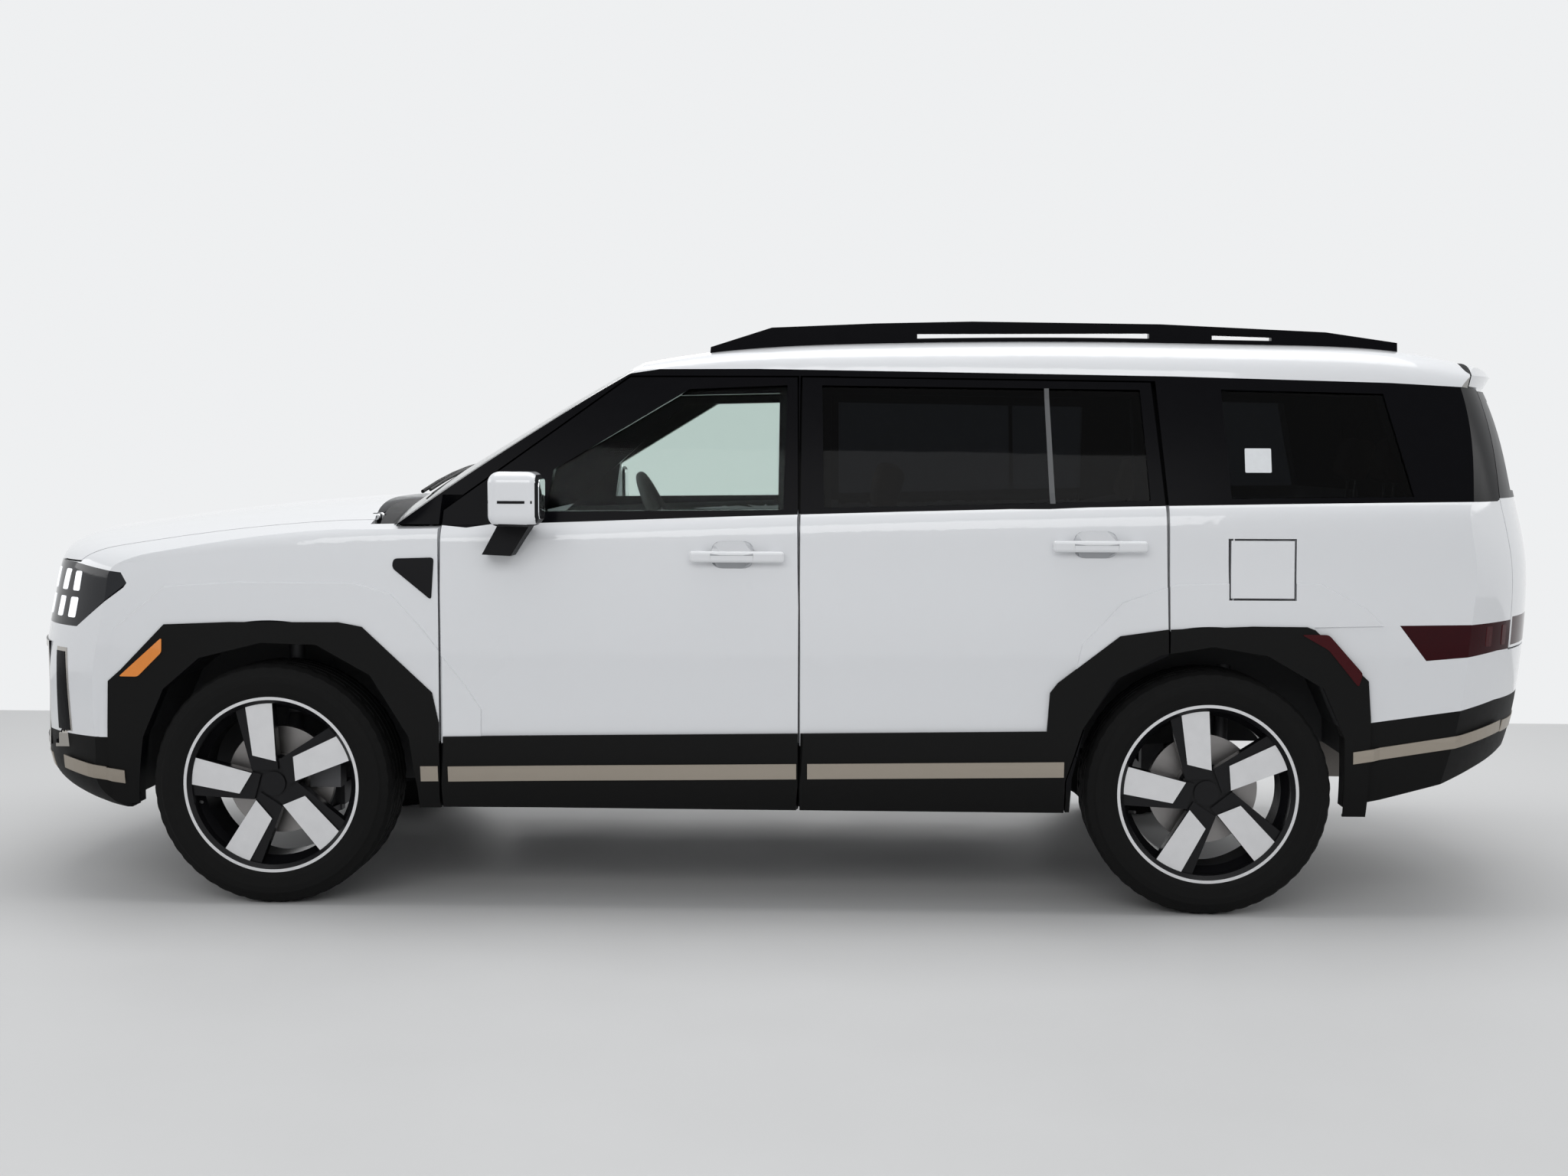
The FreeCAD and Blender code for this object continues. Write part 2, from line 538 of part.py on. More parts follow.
def hood_plan(rear, half, low):
    """Bonnet outline in plan, its rear edge bowed like the windscreen."""
    bow = Part.Arc(Vector(rear, -half, low), Vector(rear + 66, 0, low), Vector(rear, half, low)).toShape()
    pts = [Vector(rear, half, low), Vector(2700, half, low), Vector(2700, -half, low), Vector(rear, -half, low)]
    sides = [Part.makeLine(p, q) for p, q in zip(pts, pts[1:])]
    return Part.Face(Part.Wire(Part.__sortEdges__([bow] + sides))).extrude(Vector(0, 0, 500))


hood_zone = hood_plan(HOOD_REAR, HOOD_SIDE, 1036)
hood_room = hood_plan(HOOD_REAR - 18, HOOD_SIDE + GAP, 1031)
cowl_room = box(900, HOOD_REAR, -848, 848, 1100, 1500)
cowl_room = cowl_room.fuse(box(1000, 1340, -HOOD_SIDE - GAP, HOOD_SIDE + GAP, 1036, 1500))
pillar_room = box(DOOR_F - 1, PILLAR_FOOT + GAP, 700, 1200, 1158, 1500)
pillar_room = pillar_room.fuse(box(DOOR_F - 1, PILLAR_FOOT + GAP, 700, 874, 1060, 1160))
FLARED_NOSE = nose(-FLARE, 0, -FLARE)
pad_zone = PAD_F.common(FLARED_NOSE)
wing_pad = pad_zone.common(box(DOOR_F + GAP, 1972, 500, 1200, 300, 1100))
bumper_pad = pad_zone.common(box(1972, 2200, 500, 1200, 505, 1100))
wing = prism(WING, 0, 1200).common(NOSE_OUT).fuse(wing_pad)
wing = wing.cut([NOSE_IN, hood_room, cowl_room, pillar_room, windscreen, ARCH_F,
                 swing_room(HINGE_F, LEAD_TOP + 5)])
hood = hood_zone.common(NOSE_OUT).cut(nose(-60, 30, 34))
HINGE_H = (HOOD_REAR + 12, 1172)
hood_arms = []
hood_cuts = []
hood_lugs = []
for y in (-700, 700):
    hood_arms.append(box(HINGE_H[0] - 8, HINGE_H[0] + 8, y - 12, y + 12, 1118, HINGE_H[1] + 6))
    hood_arms.append(rod((HINGE_H[0], y - 34, HINGE_H[1]), (HINGE_H[0], y + 34, HINGE_H[1]), 4.5))
    hood_cuts.append(box(HINGE_H[0] - 60, HINGE_H[0] + 14, y - 17, y + 17, 1100, HINGE_H[1] + 11))
    hood_cuts.append(rod((HINGE_H[0], y - 38, HINGE_H[1]), (HINGE_H[0], y + 38, HINGE_H[1]), 5))
    for y0 in (y - 38, y + 18):
        hood_lugs.append(rod((HINGE_H[0], y0, HINGE_H[1]), (HINGE_H[0], y0 + 20, HINGE_H[1]), 11))
hood = hood.fuse([lug.common(NOSE_OUT) for lug in hood_lugs]).cut(hood_cuts)
lamp_front = prism(LAMP, 590, 1200).common(NOSE_OUT).cut([nose(90, 90, 90), hood_room])
light_bar = box(1900, 2700, -590, 590, 918, 954).common(NOSE_OUT).cut(nose(0, 0, 26))
keep("headlamps", lamp_front, mirrored(lamp_front), light_bar)
bumper_core = nose(60, 60, 60)
front_zone = prism([(1972, 505), (1972, 960), (2141, 836), (2700, 836), (2700, 505)], -1200, 1200)
centre_zone = box(1900, 2700, -590, 590, 800, 1030)
GRILLE = [(-716, 452), (-742, 620), (-722, 778), (722, 778), (742, 620), (716, 452)]
grille_room = beam(GRILLE, 1900, 2700)
front_bumper = front_zone.fuse(centre_zone).common(NOSE_OUT).fuse([bumper_pad, mirrored(bumper_pad)])
front_bumper = front_bumper.cut([bumper_core, grille_room, light_bar, ARCH_F])
lower_front = prism([(1972, 282), (1972, 505), (2700, 505), (2700, 282)], -1200, 1200)
lower_front = lower_front.common(NOSE_OUT).cut([bumper_core, grille_room, ARCH_F])


def bowed(front, back, half, z0, z1):
    """A slab bowed in plan like the nose."""
    places = [i * half / 3 for i in range(-3, 4)]
    ends = []
    for x in (front, back):
        ends.append(curve([Vector(x - nose_drop(y), y, z0) for y in places], steps([(y, 0) for y in places])))
    sag = nose_drop(half)
    sides = [Part.makeLine(Vector(front - sag, y, z0), Vector(back - sag, y, z0)) for y in (-half, half)]
    face = Part.Face(Part.Wire(Part.__sortEdges__([ends[0], sides[1], ends[1], sides[0]])))
    return face.extrude(Vector(0, 0, z1 - z0))


bars = []
for i in range(6):
    z = 480 + i * 54
    bars.append(box(2100, 2700, -715, 715, z, z + 16))
for i in range(-7, 8):
    bars.append(box(2100, 2700, i * 98 - 8, i * 98 + 8, 460, 770))
slab = bowed(2384, 2364, 735, 455, 775).common(grille_room)
mesh = bars[0].multiFuse(bars[1:]).common(slab)
frame = bowed(2417, 2356, 750, 440, 790).common(grille_room).cut(beam(grow(GRILLE, -20), 1800, 2800))
grille = frame.fuse(mesh)
keep("grille", grille)
keep("hood", hood)

# Black lower trim over the painted panels.
TRIM_OUT = left_tube(-TRIM)
NOSE_TRIM = nose(-TRIM, 0, -TRIM)
BAND_F = [(504, 148), (500, 311), (459, 347), (324, 485), (121, 494), (-212, 496), (-283, 483), (-495, 286),
          (-524, 153), (-540, -70), (504, -70)]
BAND_R = [(479, 187), (471, 300), (448, 330), (266, 471), (128, 491), (-123, 502), (-283, 501), (-306, 492),
          (-465, 342), (-474, 226), (-474, -70), (479, -70)]
band_f = [(AXLE_F + a, AXLE_Z + b) for a, b in BAND_F]
band_r = [(AXLE_R + a, AXLE_Z + b) for a, b in BAND_R]
SILL_BAND = [(DOOR_F + 60, 519), (-900, 552), (-900, SILL), (DOOR_F + 60, SILL)]
band_zone_f = prism(band_f, 500, 1200).cut([ARCH_F, box(-FAR, DOOR_F + GAP, 0, 1200, 0, FAR)])
fender_trim = band_zone_f.common(NOSE_TRIM).cut([NOSE_OUT, wing_pad, bumper_pad, swing_room(HINGE_F, LEAD_TOP)])
band_zone_r = prism(band_r, 500, 1200).cut(ARCH_R)
sill_zone = prism(SILL_BAND, 500, 1200)
front_trim = sill_zone.common(prism(FRONT_DOOR, 500, 1200)).common(TRIM_OUT).cut(SKIN_L)
rear_trim = sill_zone.fuse(band_zone_r).common(prism(REAR_DOOR, 500, 1200)).common(TRIM_OUT).cut(SKIN_L)
front_trim = front_trim.cut([lead_cut(HINGE_F, SWING, SILL - 5, LEAD_TOP), swing_room(HINGE_R, LEAD_TOP)])
rear_trim = rear_trim.cut(lead_cut(HINGE_R, SWING, SILL - 5, LEAD_TOP))
quarter_trim = band_zone_r.common(prism([(DOOR_R - GAP, 1200), (DOOR_R - GAP, 100), (-FAR, 100), (-FAR, 1200)],
                                        500, 1200))
quarter_trim = quarter_trim.common(TRIM_OUT).cut([SKIN_L, prism(grow(REAR_DOOR, GAP), 500, 1200)])
lower_rear = rear_shell.cut(prism(BUMPER_ZONE, -1200, 1200))
lower_rear = lower_rear.cut(prism([(-1600, 100), (-1600, 300), (-1700, 326), (-1809, 350), (-2106, 435), (-2240, 470),
                                   (-FAR, 480), (-FAR, 100)], -1200, 1200))
keep("lower_trim", fender_trim, mirrored(fender_trim), quarter_trim, mirrored(quarter_trim), lower_front, lower_rear)

# Fuel flap with its pin across the pocket.
FLAP_Z = 1035
FLAP_X = -1447
flap_half = size("flap_size") / 2
flap_box = box(FLAP_X - flap_half, FLAP_X + flap_half, 700, 1200, FLAP_Z - flap_half + 8, FLAP_Z + flap_half - 8)
flap_room = box(FLAP_X - flap_half - 6, FLAP_X + flap_half + 6, 700, 1200, FLAP_Z - flap_half + 2,
                FLAP_Z + flap_half - 2)
HINGE_L = (FLAP_X + flap_half - 8, skin_y(FLAP_X + flap_half - 8, FLAP_Z) - 7)
flap = flap_box.common(PLAIN_L).cut(left_tube(13))
flap_swing = Part.makeCylinder(17, 2 * flap_half - 4, Vector(HINGE_L[0], HINGE_L[1], FLAP_Z - flap_half + 2))
flap_swing = flap_swing.cut(box(FLAP_X - 200, HINGE_L[0], 700, 1200, 0, 2000))
flap_bore = Part.makeCylinder(3.0, 400, Vector(HINGE_L[0], HINGE_L[1], FLAP_Z - 200))
flap = flap.cut(flap_bore)
flap_pin = Part.makeCylinder(2.5, 2 * flap_half - 4, Vector(HINGE_L[0], HINGE_L[1], FLAP_Z - flap_half + 2))
pocket = flap_room.common(SKIN_L).cut(left_tube(70))
side_left = side.cut([pocket, flap_swing]).fuse(flap_pin)
keep("fuel_flap", flap)
keep("side_frame_left", side_left)
keep("side_frame_right", mirrored(side))

# Roof rails.
RAIL = [(212, 1660), (208, 1699), (19, 1759), (-300, 1772), (-598, 1778), (-1173, 1770), (-1674, 1746), (-1890, 1714),
        (-1892, 1660)]
RAIL_GAPS = [[(-429, 1660), (-429, 1748), (-1138, 1750), (-1138, 1660)],
             [(-1329, 1660), (-1329, 1744), (-1510, 1738), (-1510, 1660)]]
rail = prism(RAIL, 612, 652).cut([FULL] + [prism(g, 600, 660) for g in RAIL_GAPS])
keep("roof_rails", rail, mirrored(rail))
keep("fixed_glass", windscreen, quarter_pane, mirrored(quarter_pane))
keep("fenders", wing, mirrored(wing))
keep("front_bumper", front_bumper)
keep("rear_bumper", rear_bumper)

# Doors with handles, glass, lower trim and mirrors.


def handle(x_front, x_rear, z, on):
    """Pull handle standing off the skin on two feet."""
    y = skin_y((x_front + x_rear) / 2, z)
    bar = box(x_rear, x_front, y + 18, y + 40, z - 17, z + 17)
    bar = bar.makeFillet(9, [e for e in bar.Edges])
    feet = [box(x_front - 44, x_front - 14, y - 8, y + 30, z - 13, z + 13),
            box(x_rear + 14, x_rear + 44, y - 8, y + 30, z - 13, z + 13)]
    return on.fuse([bar] + feet)


front_door = handle(249, -34, 1066, front_door)
rear_door = handle(-827, -1105, 1102, rear_door)
keep_pair("front_door", front_door)
keep_pair("rear_door", rear_door)
keep_pair("front_door_glass", front_pane)
keep_pair("rear_door_glass", rear_pane)
keep_pair("front_door_trim", front_trim)
keep_pair("rear_door_trim", rear_trim)
shell = box(672, 824, 968, 1122, 1158, 1318)
shell = shell.makeFillet(34, shell.Edges)
foot = prism([(858, 1072), (772, 1068), (712, 1165), (800, 1178)], 905, 1010)
mirror = shell.fuse(foot).cut(SKIN_L)
keep_pair("mirror", max(mirror.Solids, key=lambda s: s.Volume))

# Structure under and inside the body.
FLOOR = [(1045, 300), (-600, 300), (-800, 430), (-1500, 480), (-2250, 480), (-2250, 520), (-1520, 520), (-820, 470),
         (-620, 345), (DOOR_F, 345), (DOOR_F, 1118), (1045, 1118)]
floor = prism(FLOOR, -900, 900).common(cabin)
tunnel = box(-600, DOOR_F, -140, 140, 345, 480)
house_r = prism(grow(LINER_R, 9), 530, 900).cut(prism(LINER_R, 539, 900)).common(cabin)
house_r = house_r.cut(box(-FAR, FAR, 0, FAR, 0, 470))
room_r = prism(LINER_R, 539, 900)
house_f = prism(grow(LINER_F, 9), 500, 960).cut([prism(LINER_F, 509, 960)])
house_f = house_f.common(bumper_core).cut([box(AXLE_F - 90, AXLE_F + 90, 510, 730, 640, 900),
                                                box(0, FAR, 0, FAR, 0, 320), box(0, 1062, 0, FAR, 0, FAR)])
rails = [box(1045, 2200, s * 470 - 30, s * 470 + 30, 470, 560) for s in (-1, 1)]
rails.append(box(2200, 2236, -560, 560, 465, 565))
towers = []
for s in (-1, 1):
    y0, y1 = sorted((s * 500, s * 512))
    towers.append(box(AXLE_F - 80, AXLE_F + 80, y0, y1, 560, 1030))
    y0, y1 = sorted((s * 512, s * 690))
    towers.append(box(AXLE_F - 80, AXLE_F + 80, y0, y1, 1000, 1030))
pan = floor.fuse([tunnel, house_r, mirrored(house_r), house_f, mirrored(house_f)] + rails + towers)
pan = pan.cut([room_r, mirrored(room_r), lower_rear])
keep("floor_pan", pan)
shelf = box(DOOR_F, 1360, -900, 900, 1118, 1130).common(ENDS).common(cabin)
cowl = box(DOOR_F, HOOD_REAR, -845, 845, 1118, 1400).fuse(box(HOOD_REAR - 1, 1340, -HOOD_SIDE, HOOD_SIDE, 1118, 1400))
hinge_rooms = [rod((HINGE_H[0], y - 44, HINGE_H[1]), (HINGE_H[0], y + 44, HINGE_H[1]), 16) for y in (-700, 700)]
cowl = cowl.common(nose(3, 14, 0)).cut([ENDS, hood_room, side, mirrored(side)] + hinge_rooms)
cowl = cowl.fuse([shelf] + hood_arms)
cowl = max(cowl.Solids, key=lambda s: s.Volume)
keep("cowl", cowl)
DASH = [(DOOR_F, 720), (DOOR_F, 1130), (1240, 1130), (1180, 1140), (840, 1142), (660, 1085), (590, 980), (640, 880),
        (760, 760)]
dash = prism(DASH, -785, 785).common(end_block(20.0))
keep("dashboard", dash)
keep("console", prism([(700, 480), (700, 700), (560, 760), (200, 700), (-260, 690), (-260, 480)], -125, 125))


def seat(x, y, width, floor_z, base_z):
    """A seat: riser, cushion, leaning back and headrest."""
    cushion = prism([(x, base_z - 130), (x + 520, base_z - 110), (x + 530, base_z - 10), (x + 60, base_z - 30)],
                    y - width / 2, y + width / 2)
    back = prism([(x - 20, base_z - 120), (x + 90, base_z - 100), (x - 60, base_z + 500), (x - 190, base_z + 490)],
                 y - width / 2, y + width / 2)
    rest = prism([(x - 200, base_z + 545), (x - 100, base_z + 545), (x - 120, base_z + 700), (x - 205, base_z + 690)],
                 y - 120, y + 120)
    posts = [rod((x - 140, y + s, base_z + 480), (x - 150, y + s, base_z + 560), 7) for s in (-60, 60)]
    riser = box(x + 60, x + 440, y - width / 2 + 40, y + width / 2 - 40, floor_z, base_z - 110)
    return cushion.fuse([back, rest, riser] + posts)


low = size("seat_height")
below_floor = prism([(DOOR_F, 345), (-620, 345), (-820, 470), (-1520, 520), (-FAR, 520), (-FAR, 0), (DOOR_F, 0)],
                    -900, 900)
keep("front_seats", seat(-190, 390, 500, 345, low), seat(-190, -390, 500, 345, low))
row_two = seat(-1060, 290, 460, 340, low + 20).fuse(seat(-1060, -290, 460, 340, low + 20)).cut(below_floor)
row_three = seat(-1830, 260, 500, 500, low + 90).fuse(seat(-1830, -260, 500, 500, low + 90)).cut(below_floor)
keep("rear_seats", row_two, row_three)

# Engine, exhaust and axles.
engine = box(1240, 1740, -340, 340, 362, 880)
mounts = [rod((1500, s * 330, 515), (1500, s * 440, 515), 24) for s in (-1, 1)]
keep("engine", engine.fuse(mounts))
keep("radiator", box(2150, 2200, -380, 380, 340, 860))
pipe = [(1200, -60, 270), (-560, -60, 270), (-1000, -60, 422), (-1600, -60, 422), (-1760, -60, 410)]
tubes = [rod(p, q, 28) for p, q in zip(pipe, pipe[1:])]
knees = [Part.makeSphere(28, Vector(*p)) for p in pipe[1:-1]]
muffler = box(-2060, -1730, -420, 420, 340, 480)
exhaust = tubes[0].fuse(tubes[1:] + knees + [muffler]).cut(pan)
keep("exhaust", max(exhaust.Solids, key=lambda s: s.Volume))

BALL = (765.0, 235.0)
TOP = (600.0, 988.0)


def on_axis(z):
    """Across-car place of the steering axis at a height."""
    return BALL[0] + (TOP[0] - BALL[0]) * (z - BALL[1]) / (TOP[1] - BALL[1])


frame_f = box(AXLE_F - 90, AXLE_F + 70, -420, 420, 215, 285)
parts_f = []
for s in (-1, 1):
    parts_f.append(box(AXLE_F - 60, AXLE_F + 20, min(s * 440, s * 500), max(s * 440, s * 500), 250, 470))
    parts_f.append(box(AXLE_F - 60, AXLE_F + 20, min(s * 380, s * 470), max(s * 380, s * 470), 215, 285))
    arm = column([(AXLE_F - 80, s * 400), (AXLE_F + 60, s * 400), (AXLE_F + 22, s * 765), (AXLE_F - 22, s * 765)], 196, 216.5)
    parts_f.append(arm)
    parts_f.append(box(AXLE_F - 80, AXLE_F + 60, min(s * 380, s * 420), max(s * 380, s * 420), 196, 230))
rack = rod((AXLE_F - 130, -430, 330), (AXLE_F - 130, 430, 330), 26)
posts = [box(AXLE_F - 150, AXLE_F - 80, s * 250 - 20, s * 250 + 20, 250, 330) for s in (-1, 1)]
keep("front_suspension", frame_f.fuse(parts_f + [rack] + posts))
hub = rod((AXLE_F, 742, AXLE_Z), (AXLE_F, 795, AXLE_Z), 62)
spindle = rod((AXLE_F, 742, AXLE_Z), (AXLE_F, 888, AXLE_Z), size("hub_bore") / 2 - 0.5)
lower_arm = rod((AXLE_F, 765, 240), (AXLE_F, 765, AXLE_Z), 20)
upper_arm = rod((AXLE_F, 762, AXLE_Z + 30), (AXLE_F, 655, 540), 24)
ball = Part.makeSphere(18, Vector(AXLE_F, BALL[0], BALL[1]))
strut = rod((AXLE_F, 655, 500), (AXLE_F, TOP[0], TOP[1]), 25)
bearing = rod((AXLE_F, on_axis(945), 945), (AXLE_F, on_axis(988), 988), 36)
spring = rod((AXLE_F, 627, 765), (AXLE_F, 606, 955), 58)
steer_arm = rod((AXLE_F, 750, 330), (AXLE_F - 110, 735, 330), 13)
caliper = box(AXLE_F - 190, AXLE_F - 96, 778, 846, AXLE_Z - 20, AXLE_Z + 110)
caliper = caliper.cut(rod((AXLE_F, 798, AXLE_Z), (AXLE_F, 828, AXLE_Z), 172))
bridge = box(AXLE_F - 150, AXLE_F - 30, 742, 790, AXLE_Z - 20, AXLE_Z + 40)
knuckle = hub.fuse([spindle, lower_arm, upper_arm, ball, strut, spring, bearing, steer_arm, caliper, bridge])
keep_pair("knuckle_front", knuckle)

beam_r = box(AXLE_R - 130, AXLE_R + 130, -430, 430, 300, 372)
legs = []
for s in (-1, 1):
    legs.append(box(AXLE_R + 60, AXLE_R + 130, min(s * 370, s * 430), max(s * 370, s * 430), 372, 462))
    legs.append(box(AXLE_R - 130, AXLE_R - 60, min(s * 370, s * 430), max(s * 370, s * 430), 372, 478))
    legs.append(rod((AXLE_R + 90, s * 410, 335), (AXLE_R + 20, s * 760, 330), 18))
    legs.append(rod((AXLE_R - 90, s * 410, 335), (AXLE_R - 20, s * 760, 330), 18))
    legs.append(rod((AXLE_R, s * 742, AXLE_Z), (AXLE_R, s * 795, AXLE_Z), 62))
    legs.append(rod((AXLE_R, s * 742, AXLE_Z), (AXLE_R, s * 888, AXLE_Z), size("hub_bore") / 2 - 0.5))
    legs.append(rod((AXLE_R - 60, s * 745, AXLE_Z - 20), (AXLE_R - 90, s * 640, 720), 22))
    legs.append(box(AXLE_R - 110, AXLE_R + 20, min(s * 742, s * 775), max(s * 742, s * 775), 315, AXLE_Z + 30))
rear_axle = beam_r.fuse(legs).cut(pan)
keep("rear_suspension", max(rear_axle.Solids, key=lambda s: s.Volume))

# Steering wheel on its column.
WHEEL_AT = Vector(385, 370, 1140)
COLUMN = Vector(math.cos(math.radians(25)), 0, -math.sin(math.radians(25)))
ring_r = size("steer_ring")
steer = Part.makeTorus(ring_r - 14, 14, WHEEL_AT, COLUMN)
boss = Part.makeCylinder(52, 60, WHEEL_AT - COLUMN * 18, COLUMN)
across = Vector(0, 1, 0)
spokes = [Part.makeCylinder(13, 2 * ring_r - 40, WHEEL_AT - across * (ring_r - 20), across)]
spokes.append(Part.makeCylinder(13, ring_r - 20, WHEEL_AT, COLUMN.cross(across)))
shaft = Part.makeCylinder(18, 330, WHEEL_AT, COLUMN)
steer = steer.fuse([boss, shaft] + spokes)
keep("steering_wheel", steer)
shaft_room = Part.makeCylinder(18.6, 345, WHEEL_AT, COLUMN)
NODES["dashboard"] = NODES["dashboard"].cut(shaft_room)

# Wheels.


def sketch_lines(body, name, role, points, offset=0.0):
    sk = body.newObject("Sketcher::SketchObject", name)
    plane = [f for f in body.Origin.OriginFeatures if f.Role == role][0]
    sk.AttachmentSupport = [(plane, "")]
    sk.MapMode = "FlatFace"
    sk.AttachmentOffset = Placement(Vector(0, 0, offset), Rotation())
    loop = points + points[:1]
    for (a0, b0), (a1, b1) in zip(loop, loop[1:]):
        sk.addGeometry(Part.LineSegment(Vector(a0, b0, 0), Vector(a1, b1, 0)), False)
    return sk


def revolved(name, profile):
    """Profile of radius and place across the wheel, turned around its axle."""
    body = doc.addObject("PartDesign::Body", name)
    sk = sketch_lines(body, name + "_profile", "XY_Plane", profile)
    turn = body.newObject("PartDesign::Revolution", name + "_turn")
    turn.Profile = sk
    turn.ReferenceAxis = (sk, ["V_Axis"])
    turn.Angle = 360
    doc.recompute()
    return body


half_w = size("tyre_width") / 2
lip = size("rim_radius")
seat_r = lip - 17
tread = AXLE_Z
tyre_profile = [(seat_r + 0.3, -112), (lip + 0.5, -112), (lip + 0.5, -119), (lip + 14, -half_w + 3), (lip + 42, -half_w), (tread - 28, -half_w + 7),
                (tread - 9, -half_w + 17), (tread, -half_w + 36), (tread, half_w - 36), (tread - 9, half_w - 17),
                (tread - 28, half_w - 7), (lip + 42, half_w), (lip + 14, half_w - 3), (lip + 0.5, 119), (lip + 0.5, 112), (seat_r + 0.3, 112)]
tyre_body = revolved("tyre", tyre_profile)
rim_profile = [(lip, -119), (lip, -112.5), (seat_r, -112.2), (seat_r, -60), (lip - 34, -44), (lip - 34, 50),
               (seat_r, 72), (seat_r, 112.2), (lip, 112.5), (lip, 119), (lip - 12, 119), (lip - 24, 106),
               (lip - 26, 72), (lip - 43, 48), (lip - 43, -46), (lip - 26, -62), (lip - 26, -119)]
rim_body = revolved("rim", rim_profile)
face_sk = sketch_lines(rim_body, "spoke_outline", "XZ_Plane",
                       [(-16, 44), (64, 40), (112, 222), (80, 237), (40, 247), (-2, 250)], -97)
spoke = rim_body.newObject("PartDesign::Pad", "spoke")
spoke.Profile = face_sk
spoke.Length = 36
doc.recompute()
plate_sk = sketch_lines(rim_body, "spoke_face_outline", "XZ_Plane",
                        [(-12, 70), (60, 87), (80, 237), (40, 246.5), (-2, 249.5)], -104)
plate = rim_body.newObject("PartDesign::Pad", "spoke_face")
plate.Profile = plate_sk
plate.Length = 8
doc.recompute()
ring = rim_body.newObject("PartDesign::PolarPattern", "spokes")
ring.Originals = [spoke, plate]
ring.Axis = (face_sk, ["N_Axis"])
ring.Angle = 360
ring.Occurrences = int(size("spoke_count"))
rim_body.Tip = ring
doc.recompute()
wheel = rim_body.Shape.copy()
tyre = tyre_body.Shape.copy()
disc = rod((0, -18, 0), (0, 8, 0), 165)
hat = rod((0, 8, 0), (0, 50, 0), 84)
centre = rod((0, 50, 0), (0, 86, 0), 76)
bore = rod((0, -30, 0), (0, 120, 0), size("hub_bore") / 2)
wheel = wheel.fuse([disc, hat, centre]).cut(bore)
cap = rod((0, 84, 0), (0, 95, 0), 37)
nuts = []
for i in range(5):
    a = math.radians(90 + 72 * i)
    r = size("lug_circle") / 2
    nuts.append(rod((r * math.cos(a), 60, r * math.sin(a)), (r * math.cos(a), 95, r * math.sin(a)), 11))
wheel = wheel.fuse(nuts + [cap])
for end, x in (("front", AXLE_F), ("rear", AXLE_R)):
    for side_name, s in (("left", 1), ("right", -1)):
        for item, shape in (("rim", wheel), ("tyre", tyre)):
            placed = shape.copy()
            if s < 0:
                placed.rotate(Vector(0, 0, 0), Vector(0, 0, 1), 180)
            placed.translate(Vector(x, s * TRACK, AXLE_Z))
            keep("%s_%s_%s" % (item, end, side_name), placed)

bad = []
for name, shape in NODES.items():
    if not name.endswith("_right") and not shape.isValid():
        bad.append(name)
    part = doc.addObject("Part::Feature", name)
    part.Label = name
    part.Shape = shape
doc.recompute()
for obj in doc.Objects:
    if "Invalid" in obj.State or "Error" in obj.State:
        bad.append(obj.Name)
print("nodes", len(NODES), "bad", bad)
for name, shape in NODES.items():
    shape.exportStep("parts/%s.step" % name)
    print(name, len(shape.Solids), round(shape.Volume / 1e6, 2))
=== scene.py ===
import math

import bmesh
import bpy
from mathutils import Matrix, Vector
from mathutils.bvhtree import BVHTree


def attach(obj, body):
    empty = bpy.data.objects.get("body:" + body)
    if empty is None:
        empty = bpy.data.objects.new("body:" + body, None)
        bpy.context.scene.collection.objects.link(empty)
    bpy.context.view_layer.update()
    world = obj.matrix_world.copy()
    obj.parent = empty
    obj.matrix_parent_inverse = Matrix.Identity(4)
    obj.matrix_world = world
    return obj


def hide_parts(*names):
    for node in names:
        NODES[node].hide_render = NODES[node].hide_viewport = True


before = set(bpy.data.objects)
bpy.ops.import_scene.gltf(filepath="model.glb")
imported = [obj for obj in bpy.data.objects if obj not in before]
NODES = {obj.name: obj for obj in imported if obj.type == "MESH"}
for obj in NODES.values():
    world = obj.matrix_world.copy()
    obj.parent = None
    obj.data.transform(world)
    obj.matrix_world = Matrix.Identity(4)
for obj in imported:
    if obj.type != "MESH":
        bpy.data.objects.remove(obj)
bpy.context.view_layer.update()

SIDES = (("left", 1), ("right", -1))
ENDS = ("front", "rear")

# Places that the source sets, in metres.
AXLE = {"front": 1.520, "rear": -1.295}
AXLE_Z = 0.366
TRACK = 0.818
DOOR_BREAK = -0.080
DOOR_GAP = 0.005
RAIL_Y = (0.614, 0.650)
RAIL_OPENINGS = ((-1.138, -0.429, 1.750, 1.748), (-1.510, -1.329, 1.738, 1.744))
BELT = [(-2.6, 1.244), (-2.157, 1.238), (-1.169, 1.222), (-0.096, 1.192), (1.008, 1.150), (1.4, 1.140)]

# Heights and reaches where one finish of a node gives way to another.
GATE_GLASS = (1.244, 1.568)
DOOR_CARD = (0.62, 1.0)
DASH_INLAY = (0.86, 1.0)
CLAD_TOP = 0.50
# Reach of the dark arch zone from the axle; on the arch edges its black is painted shade.
ARCH_REACH = 0.50
SILL_LOW = 0.36
CAP_LOW = 1.166
LIGHT_BAR_HALF = 0.59
GRILLE_FRAME = (0.473, 0.757, 0.705)
DISC_RADIUS = 0.167
SPOKE_FACE = 0.102
RIM_EDGE = 0.256
FLANGE_FACE = 0.104


def at(table, x):
    """Straight line reading of a table of pairs."""
    if x <= table[0][0]:
        return table[0][1]
    for (x0, y0), (x1, y1) in zip(table, table[1:]):
        if x <= x1:
            return y0 + (y1 - y0) * (x - x0) / (x1 - x0)
    return table[-1][1]


def between(value, limits):
    return limits[0] < value < limits[1]


